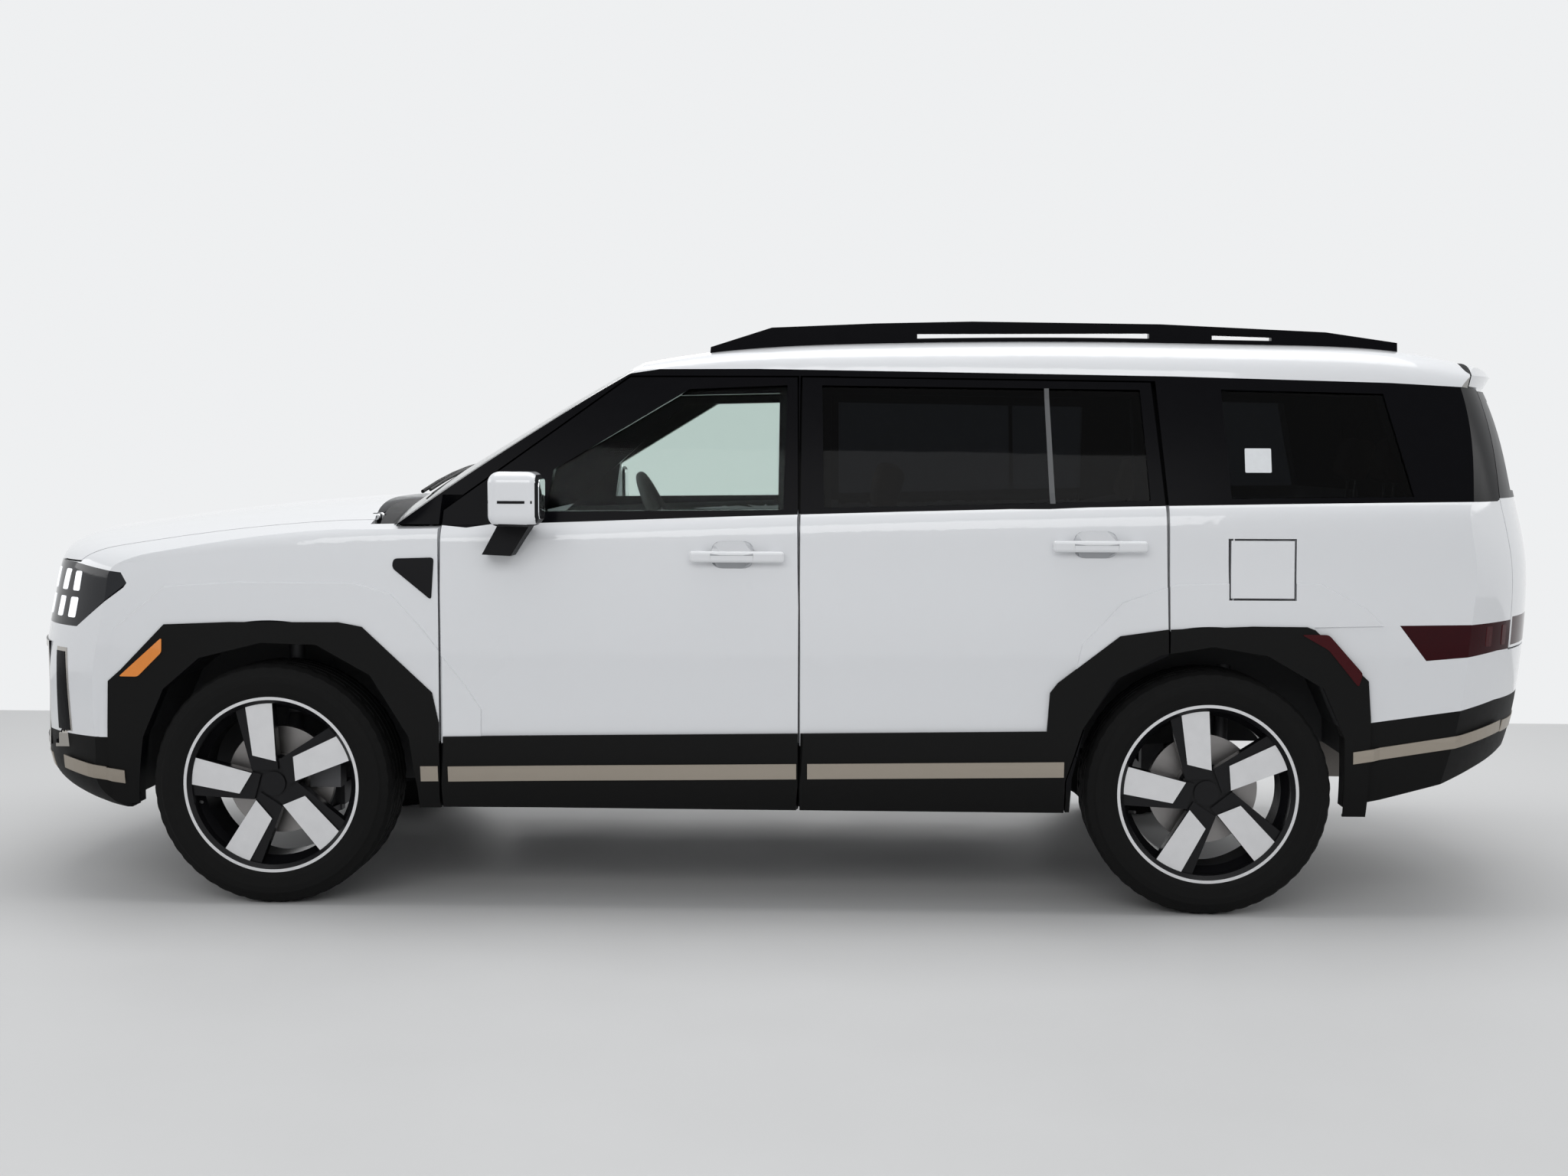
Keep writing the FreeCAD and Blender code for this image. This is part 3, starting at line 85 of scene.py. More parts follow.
# Materials.
def material(name, colour, rough, metal=0.0, coat=0.0, mottle=0.05, scale=30.0, grain=0.0, fine=900.0,
             stretch=(1.0, 1.0, 1.0), clear=0.0, sheen=0.0, glow=0.0, shine=0.5, ior=1.3):
    """Finish with colour mottling, uneven roughness and a fine grain, all from noise."""
    mat = bpy.data.materials.new(name)
    mat.use_nodes = True
    tree = mat.node_tree
    add = tree.nodes.new
    link = tree.links.new
    shader = tree.nodes["Principled BSDF"]
    shader.inputs["Metallic"].default_value = metal
    shader.inputs["Coat Weight"].default_value = coat
    shader.inputs["Coat Roughness"].default_value = 0.04
    shader.inputs["Transmission Weight"].default_value = clear
    shader.inputs["Sheen Weight"].default_value = sheen
    shader.inputs["Specular IOR Level"].default_value = shine
    if clear:
        shader.inputs["IOR"].default_value = ior
    place = add("ShaderNodeTexCoord")
    spread = add("ShaderNodeMapping")
    spread.inputs["Scale"].default_value = stretch
    link(place.outputs["Object"], spread.inputs["Vector"])
    cloud = add("ShaderNodeTexNoise")
    cloud.inputs["Scale"].default_value = scale
    cloud.inputs["Detail"].default_value = 4.0
    link(spread.outputs["Vector"], cloud.inputs["Vector"])
    blend = add("ShaderNodeMix")
    blend.data_type = "RGBA"
    blend.inputs["A"].default_value = [c * (1 - mottle) for c in colour] + [1]
    blend.inputs["B"].default_value = [min(1.0, c * (1 + mottle)) for c in colour] + [1]
    link(cloud.outputs["Fac"], blend.inputs["Factor"])
    link(blend.outputs["Result"], shader.inputs["Base Color"])
    wear = add("ShaderNodeMapRange")
    wear.inputs["To Min"].default_value = max(0.0, rough * 0.85)
    wear.inputs["To Max"].default_value = min(1.0, rough * 1.15)
    link(cloud.outputs["Fac"], wear.inputs["Value"])
    link(wear.outputs["Result"], shader.inputs["Roughness"])
    if grain:
        speckle = add("ShaderNodeTexNoise")
        speckle.inputs["Scale"].default_value = fine
        link(spread.outputs["Vector"], speckle.inputs["Vector"])
        bump = add("ShaderNodeBump")
        bump.inputs["Strength"].default_value = grain
        bump.inputs["Distance"].default_value = 0.0006
        link(speckle.outputs["Fac"], bump.inputs["Height"])
        link(bump.outputs["Normal"], shader.inputs["Normal"])
    if glow:
        shader.inputs["Emission Color"].default_value = list(colour) + [1]
        shader.inputs["Emission Strength"].default_value = glow
    return mat


WHITE = (0.76, 0.77, 0.79)
PAINT = material("white_paint", WHITE, 0.30, coat=1.0, mottle=0.01, scale=3, grain=0.03, fine=260)
BLACK = (0.003, 0.003, 0.004)
GLOSS = material("gloss_black", BLACK, 0.20, mottle=0.1, shine=0.04)
SATIN = material("satin_black", (0.006, 0.006, 0.007), 0.50, mottle=0.12, grain=0.5, fine=1400, shine=0.12)
LOWER = material("lower_black", (0.006, 0.006, 0.006), 0.55, mottle=0.12, grain=0.6, fine=1200, shine=0.10)
BRONZE = material("bronze_strip", (0.36, 0.32, 0.27), 0.36, metal=0.9, mottle=0.05, grain=0.12,
                  stretch=(0.04, 1.0, 1.0))
CHROME = material("dark_chrome", (0.42, 0.40, 0.37), 0.20, metal=1.0, mottle=0.04)
CLEAR = material("glass_clear", (0.735, 0.81, 0.78), 0.01, clear=1.0, mottle=0.01, ior=1.12)
SCREEN = material("glass_screen", (0.76, 0.83, 0.81), 0.01, clear=1.0, mottle=0.01, ior=1.2)
TINT = material("glass_tinted", (0.060, 0.064, 0.070), 0.02, clear=1.0, mottle=0.02, ior=1.14)
LENS = material("lamp_lens", (0.014, 0.015, 0.018), 0.10, mottle=0.1, shine=0.25)
LIGHT = material("lamp_white", (0.92, 0.94, 0.97), 0.25, mottle=0.02, glow=0.55)
LIGHT_OFF = material("lamp_bar", (0.34, 0.36, 0.38), 0.15, coat=1.0, mottle=0.05, grain=0.4,
                     stretch=(1.0, 0.2, 1.0))
RED = material("lamp_red", (0.030, 0.001, 0.003), 0.12, mottle=0.12, shine=0.12)
RED_DEEP = material("reflector_red", (0.050, 0.003, 0.005), 0.2, grain=0.6, fine=380, shine=0.15)
AMBER = material("marker_amber", (0.80, 0.24, 0.015), 0.16, coat=1.0, mottle=0.05, grain=0.6, fine=300)
RUBBER = material("tyre_rubber", (0.006, 0.006, 0.006), 0.75, mottle=0.2, grain=0.5, fine=700, shine=0.12)
SEAL = material("rubber_seal", (0.012, 0.012, 0.012), 0.65, mottle=0.15)
MACHINED = material("machined_alloy", (0.70, 0.70, 0.71), 0.34, metal=0.55, mottle=0.05, grain=0.25,
                    fine=1600)
BLACK_ALLOY = material("black_alloy", (0.006, 0.006, 0.007), 0.24, mottle=0.1, shine=0.2)
STEEL = material("brake_steel", (0.26, 0.25, 0.245), 0.34, metal=1.0, mottle=0.08, grain=0.4, fine=1200)
IRON = material("cast_iron", (0.10, 0.10, 0.105), 0.55, metal=0.6, mottle=0.2, grain=0.7, fine=500)
UNDER = material("underbody_grey", (0.028, 0.029, 0.031), 0.62, mottle=0.2, grain=0.5, fine=400)
PIPE = material("exhaust_steel", (0.15, 0.14, 0.13), 0.38, metal=1.0, mottle=0.18, scale=12)
TRIM_GREY = (0.030, 0.030, 0.032)
DASH = material("dash_plastic", TRIM_GREY, 0.62, mottle=0.12, grain=0.7, fine=1000)
LINING = material("roof_lining", (0.42, 0.41, 0.39), 0.85, mottle=0.06, grain=0.6, fine=1500, sheen=0.2)
CARD_BROWN = (0.20, 0.115, 0.060)
CARD = material("door_card", CARD_BROWN, 0.55, mottle=0.12, grain=0.7, fine=600)
LEATHER = material("seat_leather", (0.26, 0.145, 0.075), 0.50, mottle=0.14, grain=0.9, fine=420, sheen=0.1)
BAR = material("window_bar", (0.075, 0.078, 0.082), 0.42, mottle=0.08, grain=0.2, fine=900)
PAPER = material("blank_label", (0.74, 0.76, 0.78), 0.60, mottle=0.06, scale=80)
MIRROR = material("mirror_glass", (0.80, 0.82, 0.84), 0.03, metal=1.0, mottle=0.01)
# Mid grey for the handle recesses: painted shade on the white body paint.
CUP_SHADE = material("handle_cup_shade", (0.36, 0.37, 0.39), 0.34, coat=0.8, mottle=0.03)
ENGINE = material("engine_block", (0.12, 0.12, 0.125), 0.50, metal=0.5, mottle=0.2, grain=0.6, fine=300)


def two_tone(name, zone, dark=BLACK, **finish):
    """White paint, or another finish, that is dark and without lacquer where the zone's mask is 1."""
    look = dict(colour=WHITE, rough=0.29, mottle=0.005, scale=3, grain=0.03, fine=260, shine=0.1)
    mat = material(name, **{**look, **finish})
    tree = mat.node_tree
    add, link = tree.nodes.new, tree.links.new
    shader = tree.nodes["Principled BSDF"]
    place = add("ShaderNodeTexCoord")
    axes = add("ShaderNodeSeparateXYZ")
    link(place.outputs["Object"], axes.inputs[0])

    def calc(mode, first, second=None):
        node = add("ShaderNodeMath")
        node.operation = mode
        for socket, value in zip(node.inputs, (first, second)):
            if value is None:
                continue
            if isinstance(value, (int, float)):
                socket.default_value = value
            else:
                link(value, socket)
        return node.outputs[0]

    mask = zone(calc, axes.outputs["X"], axes.outputs["Z"])
    swap = add("ShaderNodeMix")
    swap.data_type = "RGBA"
    swap.inputs["B"].default_value = [*dark, 1]
    link(shader.inputs["Base Color"].links[0].from_socket, swap.inputs["A"])
    link(mask, swap.inputs["Factor"])
    link(swap.outputs["Result"], shader.inputs["Base Color"])
    if not finish:
        link(calc("SUBTRACT", 1.0, mask), shader.inputs["Coat Weight"])
    return mat


def gate_zone(calc, x, z):
    """The glazed band of the tailgate."""
    return calc("MULTIPLY", calc("GREATER_THAN", z, GATE_GLASS[0]), calc("LESS_THAN", z, GATE_GLASS[1]))


def clad_and_shade_zone(calc, x, z):
    """Low edges and arch edges: black where the cladding covers them, and painted shade on the arch edges that the
    cladding shades.
    """
    mask = calc("LESS_THAN", z, CLAD_TOP)
    for end in ENDS:
        across, up = calc("SUBTRACT", x, AXLE[end]), calc("SUBTRACT", z, AXLE_Z)
        square = calc("ADD", calc("MULTIPLY", across, across), calc("MULTIPLY", up, up))
        mask = calc("MAXIMUM", mask, calc("LESS_THAN", square, ARCH_REACH ** 2))
    return mask


def card_zone(calc, x, z):
    """The inside of a door above and below its trim card."""
    return calc("MAXIMUM", calc("LESS_THAN", z, DOOR_CARD[0]), calc("GREATER_THAN", z, DOOR_CARD[1]))


GATE = two_tone("gate_paint", gate_zone)
# Body paint that is black under the cladding and is painted shade on the arch edges.
BODY = two_tone("body_paint", clad_and_shade_zone)
INNER = two_tone("door_inner", card_zone, TRIM_GREY, colour=CARD_BROWN, rough=0.55, mottle=0.12, scale=30,
                 grain=0.7, fine=600, shine=0.5)


def dress(name, mats, pick=None):
    """Finishes of a CAD node; pick chooses one of them by a face's centre and normal."""
    data = NODES[name].data
    data.materials.clear()
    for mat in mats:
        data.materials.append(mat)
    if pick:
        for face in data.polygons:
            face.material_index = pick(face.center, face.normal)


def outward(centre, normal):
    return normal.y * (1 if centre.y > 0 else -1)


def side_pick(centre, normal):
    if centre.z > at(BELT, centre.x) - 0.001:
        return 1
    return 2 if centre.z < SILL_LOW else 0


def door_pick(centre, normal):
    if centre.z > at(BELT, centre.x) - 0.001:
        return 1
    if outward(centre, normal) < -0.3 and abs(centre.y) < 0.86:
        return 2
    return 0


def grille_pick(centre, normal):
    low, high, half = GRILLE_FRAME
    framed = centre.z > high or centre.z < low or abs(centre.y) > half
    return 1 if normal.x > 0.5 and framed else 0


def side_glass(centre, normal):
    return 1 if centre.x < 0 else 0


for side, s in SIDES:
    dress("side_frame_" + side, [BODY, GLOSS, LOWER], side_pick)
    for end in ENDS:
        dress("%s_door_%s" % (end, side), [BODY, GLOSS, INNER], door_pick)
        dress("%s_door_trim_%s" % (end, side), [LOWER])
    dress("front_door_glass_" + side, [CLEAR])
    dress("rear_door_glass_" + side, [TINT])
    dress("mirror_" + side, [PAINT, SATIN], lambda c, n: 1 if c.z < CAP_LOW or n.x < -0.7 else 0)
    dress("knuckle_front_" + side, [IRON])
dress("roof_panel", [PAINT, LINING], lambda c, n: 0 if n.z > -0.2 else 1)
dress("tailgate", [GATE, DASH], lambda c, n: 1 if n.x > 0.3 else 0)
dress("tailgate_glass", [TINT])
dress("tailgate_lamp", [RED])
dress("tail_lamps", [RED])
dress("headlamps", [LENS, LIGHT_OFF], lambda c, n: 1 if abs(c.y) < LIGHT_BAR_HALF and n.x > 0.3 else 0)
dress("grille", [GLOSS, CHROME], grille_pick)
dress("hood", [PAINT, UNDER], lambda c, n: 1 if n.z < -0.5 else 0)
dress("lower_trim", [LOWER])
dress("fuel_flap", [PAINT])
dress("roof_rails", [GLOSS])
dress("fixed_glass", [SCREEN, TINT], side_glass)
dress("fenders", [BODY, UNDER], lambda c, n: 1 if outward(c, n) < -0.5 else 0)
dress("front_bumper", [BODY, UNDER], lambda c, n: 1 if n.x < -0.5 else 0)
dress("rear_bumper", [BODY, UNDER], lambda c, n: 1 if n.x > 0.5 else 0)
dress("floor_pan", [UNDER])
dress("cowl", [SATIN])
dress("dashboard", [DASH, CARD], lambda c, n: 1 if n.x < -0.4 and between(c.z, DASH_INLAY) else 0)
dress("console", [DASH])
dress("engine", [ENGINE])
dress("radiator", [UNDER])
dress("exhaust", [PIPE])
dress("front_suspension", [IRON])
dress("rear_suspension", [IRON])
dress("steering_wheel", [DASH])


def rim_pick(centre, normal):
    end = "front" if centre.x > 0 else "rear"
    s = 1 if centre.y > 0 else -1
    across = (centre.y * s) - TRACK
    away = math.hypot(centre.x - AXLE[end], centre.z - AXLE_Z)
    out = normal.y * s
    if away < DISC_RADIUS and between(across, (-0.02, 0.010)):
        return 2
    spoke = out > 0.9 and across > SPOKE_FACE
    flange = out > 0.2 and across > FLANGE_FACE and away > RIM_EDGE
    return 1 if spoke or flange else 0


for end in ENDS:
    for side, s in SIDES:
        dress("rim_%s_%s" % (end, side), [BLACK_ALLOY, MACHINED, STEEL], rim_pick)


# Helpers that lay thin pieces on the CAD surfaces.
TREES = {}


def surface(names):
    key = tuple(sorted(names))
    if key not in TREES:
        mesh = bmesh.new()
        for name in key:
            mesh.from_mesh(NODES[name].data)
        TREES[key] = BVHTree.FromBMesh(mesh)
        mesh.free()
    return TREES[key]


AIM = {
    "left": (lambda u, v: Vector((u, 1.6, v)), Vector((0, -1, 0))),
    "right": (lambda u, v: Vector((u, -1.6, v)), Vector((0, 1, 0))),
    "front": (lambda u, v: Vector((3.2, u, v)), Vector((-1, 0, 0))),
    "rear": (lambda u, v: Vector((-3.2, u, v)), Vector((1, 0, 0))),
    "top": (lambda u, v: Vector((u, v, 2.6)), Vector((0, 0, -1))),
}


def finish_piece(name, mesh, body, mat, smooth=False):
    mesh.name = name
    if smooth:
        for face in mesh.polygons:
            face.use_smooth = True
    obj = bpy.data.objects.new(name, mesh)
    bpy.context.scene.collection.objects.link(obj)
    for item in mat if isinstance(mat, (list, tuple)) else [mat]:
        mesh.materials.append(item)
    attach(obj, body)
    return obj


def rounded(points, radius, count=4):
    """The outline with its corners turned into short arcs."""
    out = []
    total = len(points)
    for i in range(total):
        p = Vector(points[i])
        a = (Vector(points[i - 1]) - p)
        b = (Vector(points[(i + 1) % total]) - p)
        r = min(radius, a.length * 0.45, b.length * 0.45)
        start, end = p + a.normalized() * r, p + b.normalized() * r
        for k in range(count + 1):
            f = k / count
            out.append(tuple((1 - f) ** 2 * start + 2 * f * (1 - f) * p + f * f * end))
    return out


def quad(u0, u1, v0, v1):
    return [(u0, v0), (u1, v0), (u1, v1), (u0, v1)]


def patch(name, outline, side, on, body, mat, thick=0.003, cell=0.03, sink=0.001, bridge=0.0):
    """A thin plate with an outline drawn in one view, laid on CAD surfaces; bridge is how far it spans a groove."""
    start, way = AIM[side]
    tree = surface(on)
    mesh = bmesh.new()
    corners = [mesh.verts.new((u, v, 0)) for u, v in outline]
    mesh.faces.new(corners)
    for axis in (0, 1):
        low = min(p[axis] for p in outline)
        high = max(p[axis] for p in outline)
        steps = max(1, int((high - low) / cell))
        for k in range(1, steps):
            where = [0, 0, 0]
            normal = [0, 0, 0]
            where[axis] = low + (high - low) * k / steps
            normal[axis] = 1
            bmesh.ops.bisect_plane(mesh, geom=mesh.verts[:] + mesh.edges[:] + mesh.faces[:],
                                   plane_co=where, plane_no=normal)
    depth = 0.0
    missed = []
    for vert in mesh.verts:
        origin = start(vert.co.x, vert.co.y)
        hits = [tree.ray_cast(start(vert.co.x + shift, vert.co.y), way) for shift in (0.0, bridge, -bridge)]
        reach = [(hit[3], k) for k, hit in enumerate(hits) if hit[0] is not None]
        if not reach:
            missed.append((vert, origin))
        else:
            depth = min(reach)[0] if bridge else reach[0][0]
            vert.co = origin + way * (depth + sink)
    for vert, origin in missed:
        vert.co = origin + way * (depth + sink)
    grown = bmesh.ops.extrude_face_region(mesh, geom=mesh.faces[:])
    for vert in [g for g in grown["geom"] if isinstance(g, bmesh.types.BMVert)]:
        vert.co -= way * (thick + sink)
    bmesh.ops.recalc_face_normals(mesh, faces=mesh.faces[:])
    data = bpy.data.meshes.new(name)
    mesh.to_mesh(data)
    mesh.free()
    return finish_piece(name, data, body, mat)


def tube(name, points, radius, body, mat, smooth=True):
    """A round bar through points."""
    curve = bpy.data.curves.new(name, "CURVE")
    curve.dimensions = "3D"
    curve.bevel_depth = radius
    curve.bevel_resolution = 3
    curve.use_fill_caps = True
    spline = curve.splines.new("POLY")
    spline.points.add(len(points) - 1)
    for point, place in zip(spline.points, points):
        point.co = (*place, 1)
    holder = bpy.data.objects.new(name, curve)
    bpy.context.scene.collection.objects.link(holder)
    data = bpy.data.meshes.new_from_object(holder)
    bpy.data.objects.remove(holder)
    return finish_piece(name, data, body, mat, smooth)


def pillow(name, centre, half, tilt, body, mat, channels=0, bolster=0.0, cells=14):
    """A stuffed form: crowned, drawn in at its corners, with sewn channels across its face."""
    mesh = bmesh.new()
    bmesh.ops.create_cube(mesh, size=2.0)
    bmesh.ops.subdivide_edges(mesh, edges=mesh.edges[:], cuts=cells, use_grid_fill=True)
    turn = Matrix.Rotation(tilt, 3, "Y")
    for vert in mesh.verts:
        x, y, z = vert.co
        edge = max(abs(x), abs(y))
        crown = 1 - 0.34 * edge ** 6
        px = x * (1 - 0.07 * z * z - 0.03 * y * y)
        py = y * (1 - 0.06 * z * z - 0.03 * x * x)
        pz = z * crown
        if z > 0:
            pz += bolster * max(0.0, abs(y) - 0.62) / 0.38 * (1 - edge ** 10)
            for k in range(channels):
                line = -0.72 + 1.44 * (k + 0.5) / channels
                pz -= 0.22 * math.exp(-((x - line) / 0.035) ** 2) * (abs(y) < 0.66)
        vert.co = Vector(centre) + turn @ Vector((px * half[0], py * half[1], pz * half[2]))
    data = bpy.data.meshes.new(name)
    mesh.to_mesh(data)
    mesh.free()
    obj = finish_piece(name, data, body, mat, True)
    return obj


# Tyres with tread grooves and shoulder blocks.
TYRE_RADIUS = 0.366
TYRE_LINE = [(-0.112, 0.256), (-0.119, 0.268), (-0.1245, 0.285), (-0.1275, 0.313), (-0.1262, 0.330),
             (-0.1255, 0.332), (-0.1205, 0.338), (-0.1105, 0.357), (-0.0915, 0.3655)]
GROOVES = (-0.058, -0.020, 0.020, 0.058)
GROOVE_FLOOR = 0.3585
SEGMENTS = 144


def tyre_profile():
    """Places across the tyre, their radius, and whether they are on the tread's face."""
    line = [(a, r, False) for a, r in TYRE_LINE]
    line.append((-0.088, TYRE_RADIUS, True))
    for g in GROOVES:
        line += [(g - 0.0055, TYRE_RADIUS, True), (g - 0.004, GROOVE_FLOOR, False),
                 (g + 0.004, GROOVE_FLOOR, False), (g + 0.0055, TYRE_RADIUS, True)]
    line.append((0.088, TYRE_RADIUS, True))
    line += [(-a, r, False) for a, r in reversed(TYRE_LINE)]
    return line


def tyre(end, side, s):
    name = "tyre_%s_%s" % (end, side)
    wheel = "wheel_%s_%s" % (end, side)
    line = tyre_profile()
    shoulder = len(TYRE_LINE) + 1
    mesh = bmesh.new()
    rings = []
    for k in range(SEGMENTS):
        angle = 2 * math.pi * k / SEGMENTS
        ring = []
        for i, (a, r, tread) in enumerate(line):
            cut = 0.0
            place = min(i, len(line) - 1 - i)
            if k % 3 == 0 and r > 0.356 and place < shoulder and place != 6:
                cut = 0.002
            if tread and 0.03 < abs(a) < 0.062 and (k + (a > 0)) % 4 == 0:
                cut = 0.004
            ring.append(mesh.verts.new((AXLE[end] + (r - cut) * math.cos(angle), s * TRACK + a,
                                        AXLE_Z + (r - cut) * math.sin(angle))))
        rings.append(ring)
    for a, b in zip(rings, rings[1:] + rings[:1]):
        for i in range(len(line) - 1):
            mesh.faces.new((a[i], a[i + 1], b[i + 1], b[i]))
        mesh.faces.new((a[-1], a[0], b[0], b[-1]))
    bmesh.ops.recalc_face_normals(mesh, faces=mesh.faces[:])
    data = bpy.data.meshes.new(name + "_cover")
    mesh.to_mesh(data)
    mesh.free()
    obj = finish_piece(name + "_cover", data, wheel, RUBBER)
    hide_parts(name)
    valve = [(AXLE[end] + 0.228, s * (TRACK + 0.085), AXLE_Z - 0.06),
             (AXLE[end] + 0.214, s * (TRACK + 0.112), AXLE_Z - 0.056)]
    tube("valve_%s_%s" % (end, side), valve, 0.0045, wheel, SEAL)


for end in ENDS:
    for side, s in SIDES:
        tyre(end, side, s)

# Side trim: bronze strip, window divisions, markers, and grey plates of painted shade in the handle cups.
STRIP_LOW, STRIP_HIGH = 0.381, 0.428
STRIP_END, STRIP_SLOPE = 1.063, 0.0166


def strip(name, side, x0, x1, on, owner):
    """A length of the bronze strip, which rises towards the rear."""
    rise0, rise1 = STRIP_SLOPE * (STRIP_END - x0), STRIP_SLOPE * (STRIP_END - x1)
    outline = [(x0, STRIP_LOW + rise0), (x1, STRIP_LOW + rise1), (x1, STRIP_HIGH + rise1), (x0, STRIP_HIGH + rise0)]
    patch(name + "_" + side, outline, side, on, owner, BRONZE, thick=0.0035, cell=0.06, bridge=0.006)


for side, s in SIDES:
    front, rear, body = "front_door_" + side, "rear_door_" + side, "body"
    strip("strip_front_door", side, DOOR_BREAK + DOOR_GAP + 0.004, 0.978, ["front_door_trim_" + side], front)
    strip("strip_rear_door", side, -0.868, -0.104, ["rear_door_trim_" + side], rear)
    strip("strip_fender", side, 1.010, STRIP_END, ["lower_trim"], body)
    corner = [(-2.200, 0.538), (-2.060, 0.516), (-1.719, 0.461), (-1.718, 0.497), (-2.060, 0.552), (-2.200, 0.574)]
    patch("strip_rear_corner_" + side, corner, side, ["lower_trim", "rear_bumper"], body, BRONZE,
          thick=0.005, cell=0.02, bridge=0.012)
    corner = [(1.976, 0.362), (2.120, 0.382), (2.200, 0.394), (2.200, 0.436), (2.120, 0.425), (1.975, 0.403)]
    patch("strip_front_corner_" + side, corner, side, ["lower_trim"], body, BRONZE, thick=0.005,
          cell=0.02, bridge=0.012)
    for part, x0, x1, z0, z1, mat, proud in (("frame", 2.168, 2.232, 0.462, 0.768, CHROME, 0.002),
                                             ("mesh", 2.176, 2.232, 0.474, 0.756, GLOSS, 0.0035)):
        outline = [(x0 - 0.010, z0), (x1 - 0.006, z0), (x1, z1), (x0 + 0.014, z1)]
        patch("corner_%s_%s" % (part, side), outline, side, ["front_bumper", "grille"], body, mat,
              thick=proud, cell=0.01)
    patch("vent_" + side, rounded([(1.142, 1.054), (1.020, 1.058), (1.027, 0.930), (1.146, 1.026)], 0.012), side,
          ["fenders"], body, SATIN, thick=0.003)
    patch("marker_" + side, rounded([(1.850, 0.811), (1.851, 0.766), (1.926, 0.692), (1.984, 0.692)], 0.008), side,
          ["lower_trim", "fenders", "front_bumper"], body, AMBER, thick=0.004)
    outline = [(-1.730, 0.690), (-1.742, 0.730), (-1.640, 0.845), (-1.560, 0.845), (-1.640, 0.800)]
    patch("reflector_" + side, rounded(outline, 0.01), side, ["lower_trim"], body, RED_DEEP, thick=0.003)
    # Handle cups: thin grey plates of painted shade laid on the door skin.
    for name, edges, door in (("cup_shade_front", (0.058, 0.186, 1.030, 1.112), front),
                              ("cup_shade_rear", (-1.020, -0.890, 1.066, 1.146), rear)):
        patch(name + "_" + side, rounded(quad(*edges), 0.036, 6), side, [door], door, CUP_SHADE,
              thick=0.0008)
    patch("division_rear_" + side, [(-0.838, 1.226), (-0.822, 1.226), (-0.808, 1.570), (-0.822, 1.570)], side,
          [rear, "rear_door_glass_" + side], rear, BAR, thick=0.003)
    patch("mirror_slot_" + side, quad(0.690, 0.822, 1.226, 1.234), side, ["mirror_" + side], front, SATIN,
          thick=0.0015)
    patch("mirror_face_" + side, rounded(quad(s * 0.990, s * 1.100, 1.180, 1.296), 0.02), "rear", ["mirror_" + side],
          front, MIRROR, thick=0.002)
    blocks = [("lamp_low_" + side, side, [(2.150, 0.862), (2.184, 0.862), (2.172, 0.924), (2.138, 0.924)]),
              ("lamp_high_" + side, side, [(2.136, 0.944), (2.166, 0.944), (2.156, 1.004), (2.128, 1.004)])]
    for k, y in enumerate((0.640, 0.745)):
        for part, z0, z1 in (("low", 0.862, 0.924), ("high", 0.944, 1.008)):
            blocks.append(("lamp_front_%s_%d_%s" % (part, k, side), "front", quad(s * y, s * (y + 0.030), z0, z1)))
    for name, view, outline in blocks:
        patch(name, rounded(outline, 0.006), view, ["headlamps"], body, LIGHT, thick=0.003, cell=0.01)
patch("window_label", rounded(quad(-1.480, -1.402, 1.320, 1.392), 0.004), "left", ["fixed_glass"], "body", PAPER,
      thick=0.0006)

# Roof rails: the lower lips of their openings and the feet's base strips on the roof.


def rail_strip(name, s, span):
    """A bar along x from pairs of its low and high edges."""
    mesh = bmesh.new()
    rings = []
    for x, low, high in span:
        rings.append([mesh.verts.new((x, s * y, z)) for y, z in quad(*RAIL_Y, low, high)])
    for a, b in zip(rings, rings[1:]):
        for i in range(4):
            mesh.faces.new((a[i], a[(i + 1) % 4], b[(i + 1) % 4], b[i]))
    mesh.faces.new(rings[0])
    mesh.faces.new(rings[-1])
    bmesh.ops.recalc_face_normals(mesh, faces=mesh.faces[:])
    data = bpy.data.meshes.new(name)
    mesh.to_mesh(data)
    mesh.free()
    finish_piece(name, data, "body", GLOSS)


roof = surface(["roof_panel"])
for side, s in SIDES:
    for k, (x0, x1, z0, z1) in enumerate(RAIL_OPENINGS):
        lip, base = [], []
        for i in range(9):
            x = x0 + (x1 - x0) * i / 8
            under = z0 + (z1 - z0) * i / 8
            ground = roof.ray_cast(Vector((x, s * sum(RAIL_Y) / 2, 2.4)), Vector((0, 0, -1)))[0].z
            lip.append((x, under - 0.009, under + 0.001))
            base.append((x, ground - 0.002, ground + 0.011))
        rail_strip("rail_lip_%d_%s" % (k, side), s, lip)
        rail_strip("rail_base_%d_%s" % (k, side), s, base)

# Front and rear faces.
patch("strip_front", quad(-0.70, 0.70, 0.380, 0.424), "front", ["lower_trim"], "body", BRONZE,
      thick=0.0035, cell=0.05)
patch("strip_rear", quad(-0.70, 0.70, 0.530, 0.566), "rear", ["lower_trim", "rear_bumper"], "body", BRONZE,
      thick=0.0035, cell=0.05)
patch("plate_front", rounded(quad(-0.155, 0.155, 0.505, 0.660), 0.012), "front", ["grille"], "body", PAPER,
      thick=0.004, cell=0.4)
patch("plate_rear", rounded(quad(-0.155, 0.155, 0.655, 0.760), 0.012), "rear", ["rear_bumper"], "body", PAPER,
      thick=0.004)
patch("brake_light", rounded(quad(-0.16, 0.16, 1.592, 1.606), 0.004), "rear", ["tailgate"], "tailgate", RED,
      thick=0.002, cell=0.02)
for side, s in SIDES:
    for k, y in enumerate((0.775, 0.845)):
        patch("tail_bar_%d_%s" % (k, side), rounded(quad(s * y, s * (y + 0.022), 0.806, 0.866), 0.004), "rear",
              ["tail_lamps"], "body", RED_DEEP, thick=0.002, cell=0.01)

# Wipers.
screen = surface(["fixed_glass"])


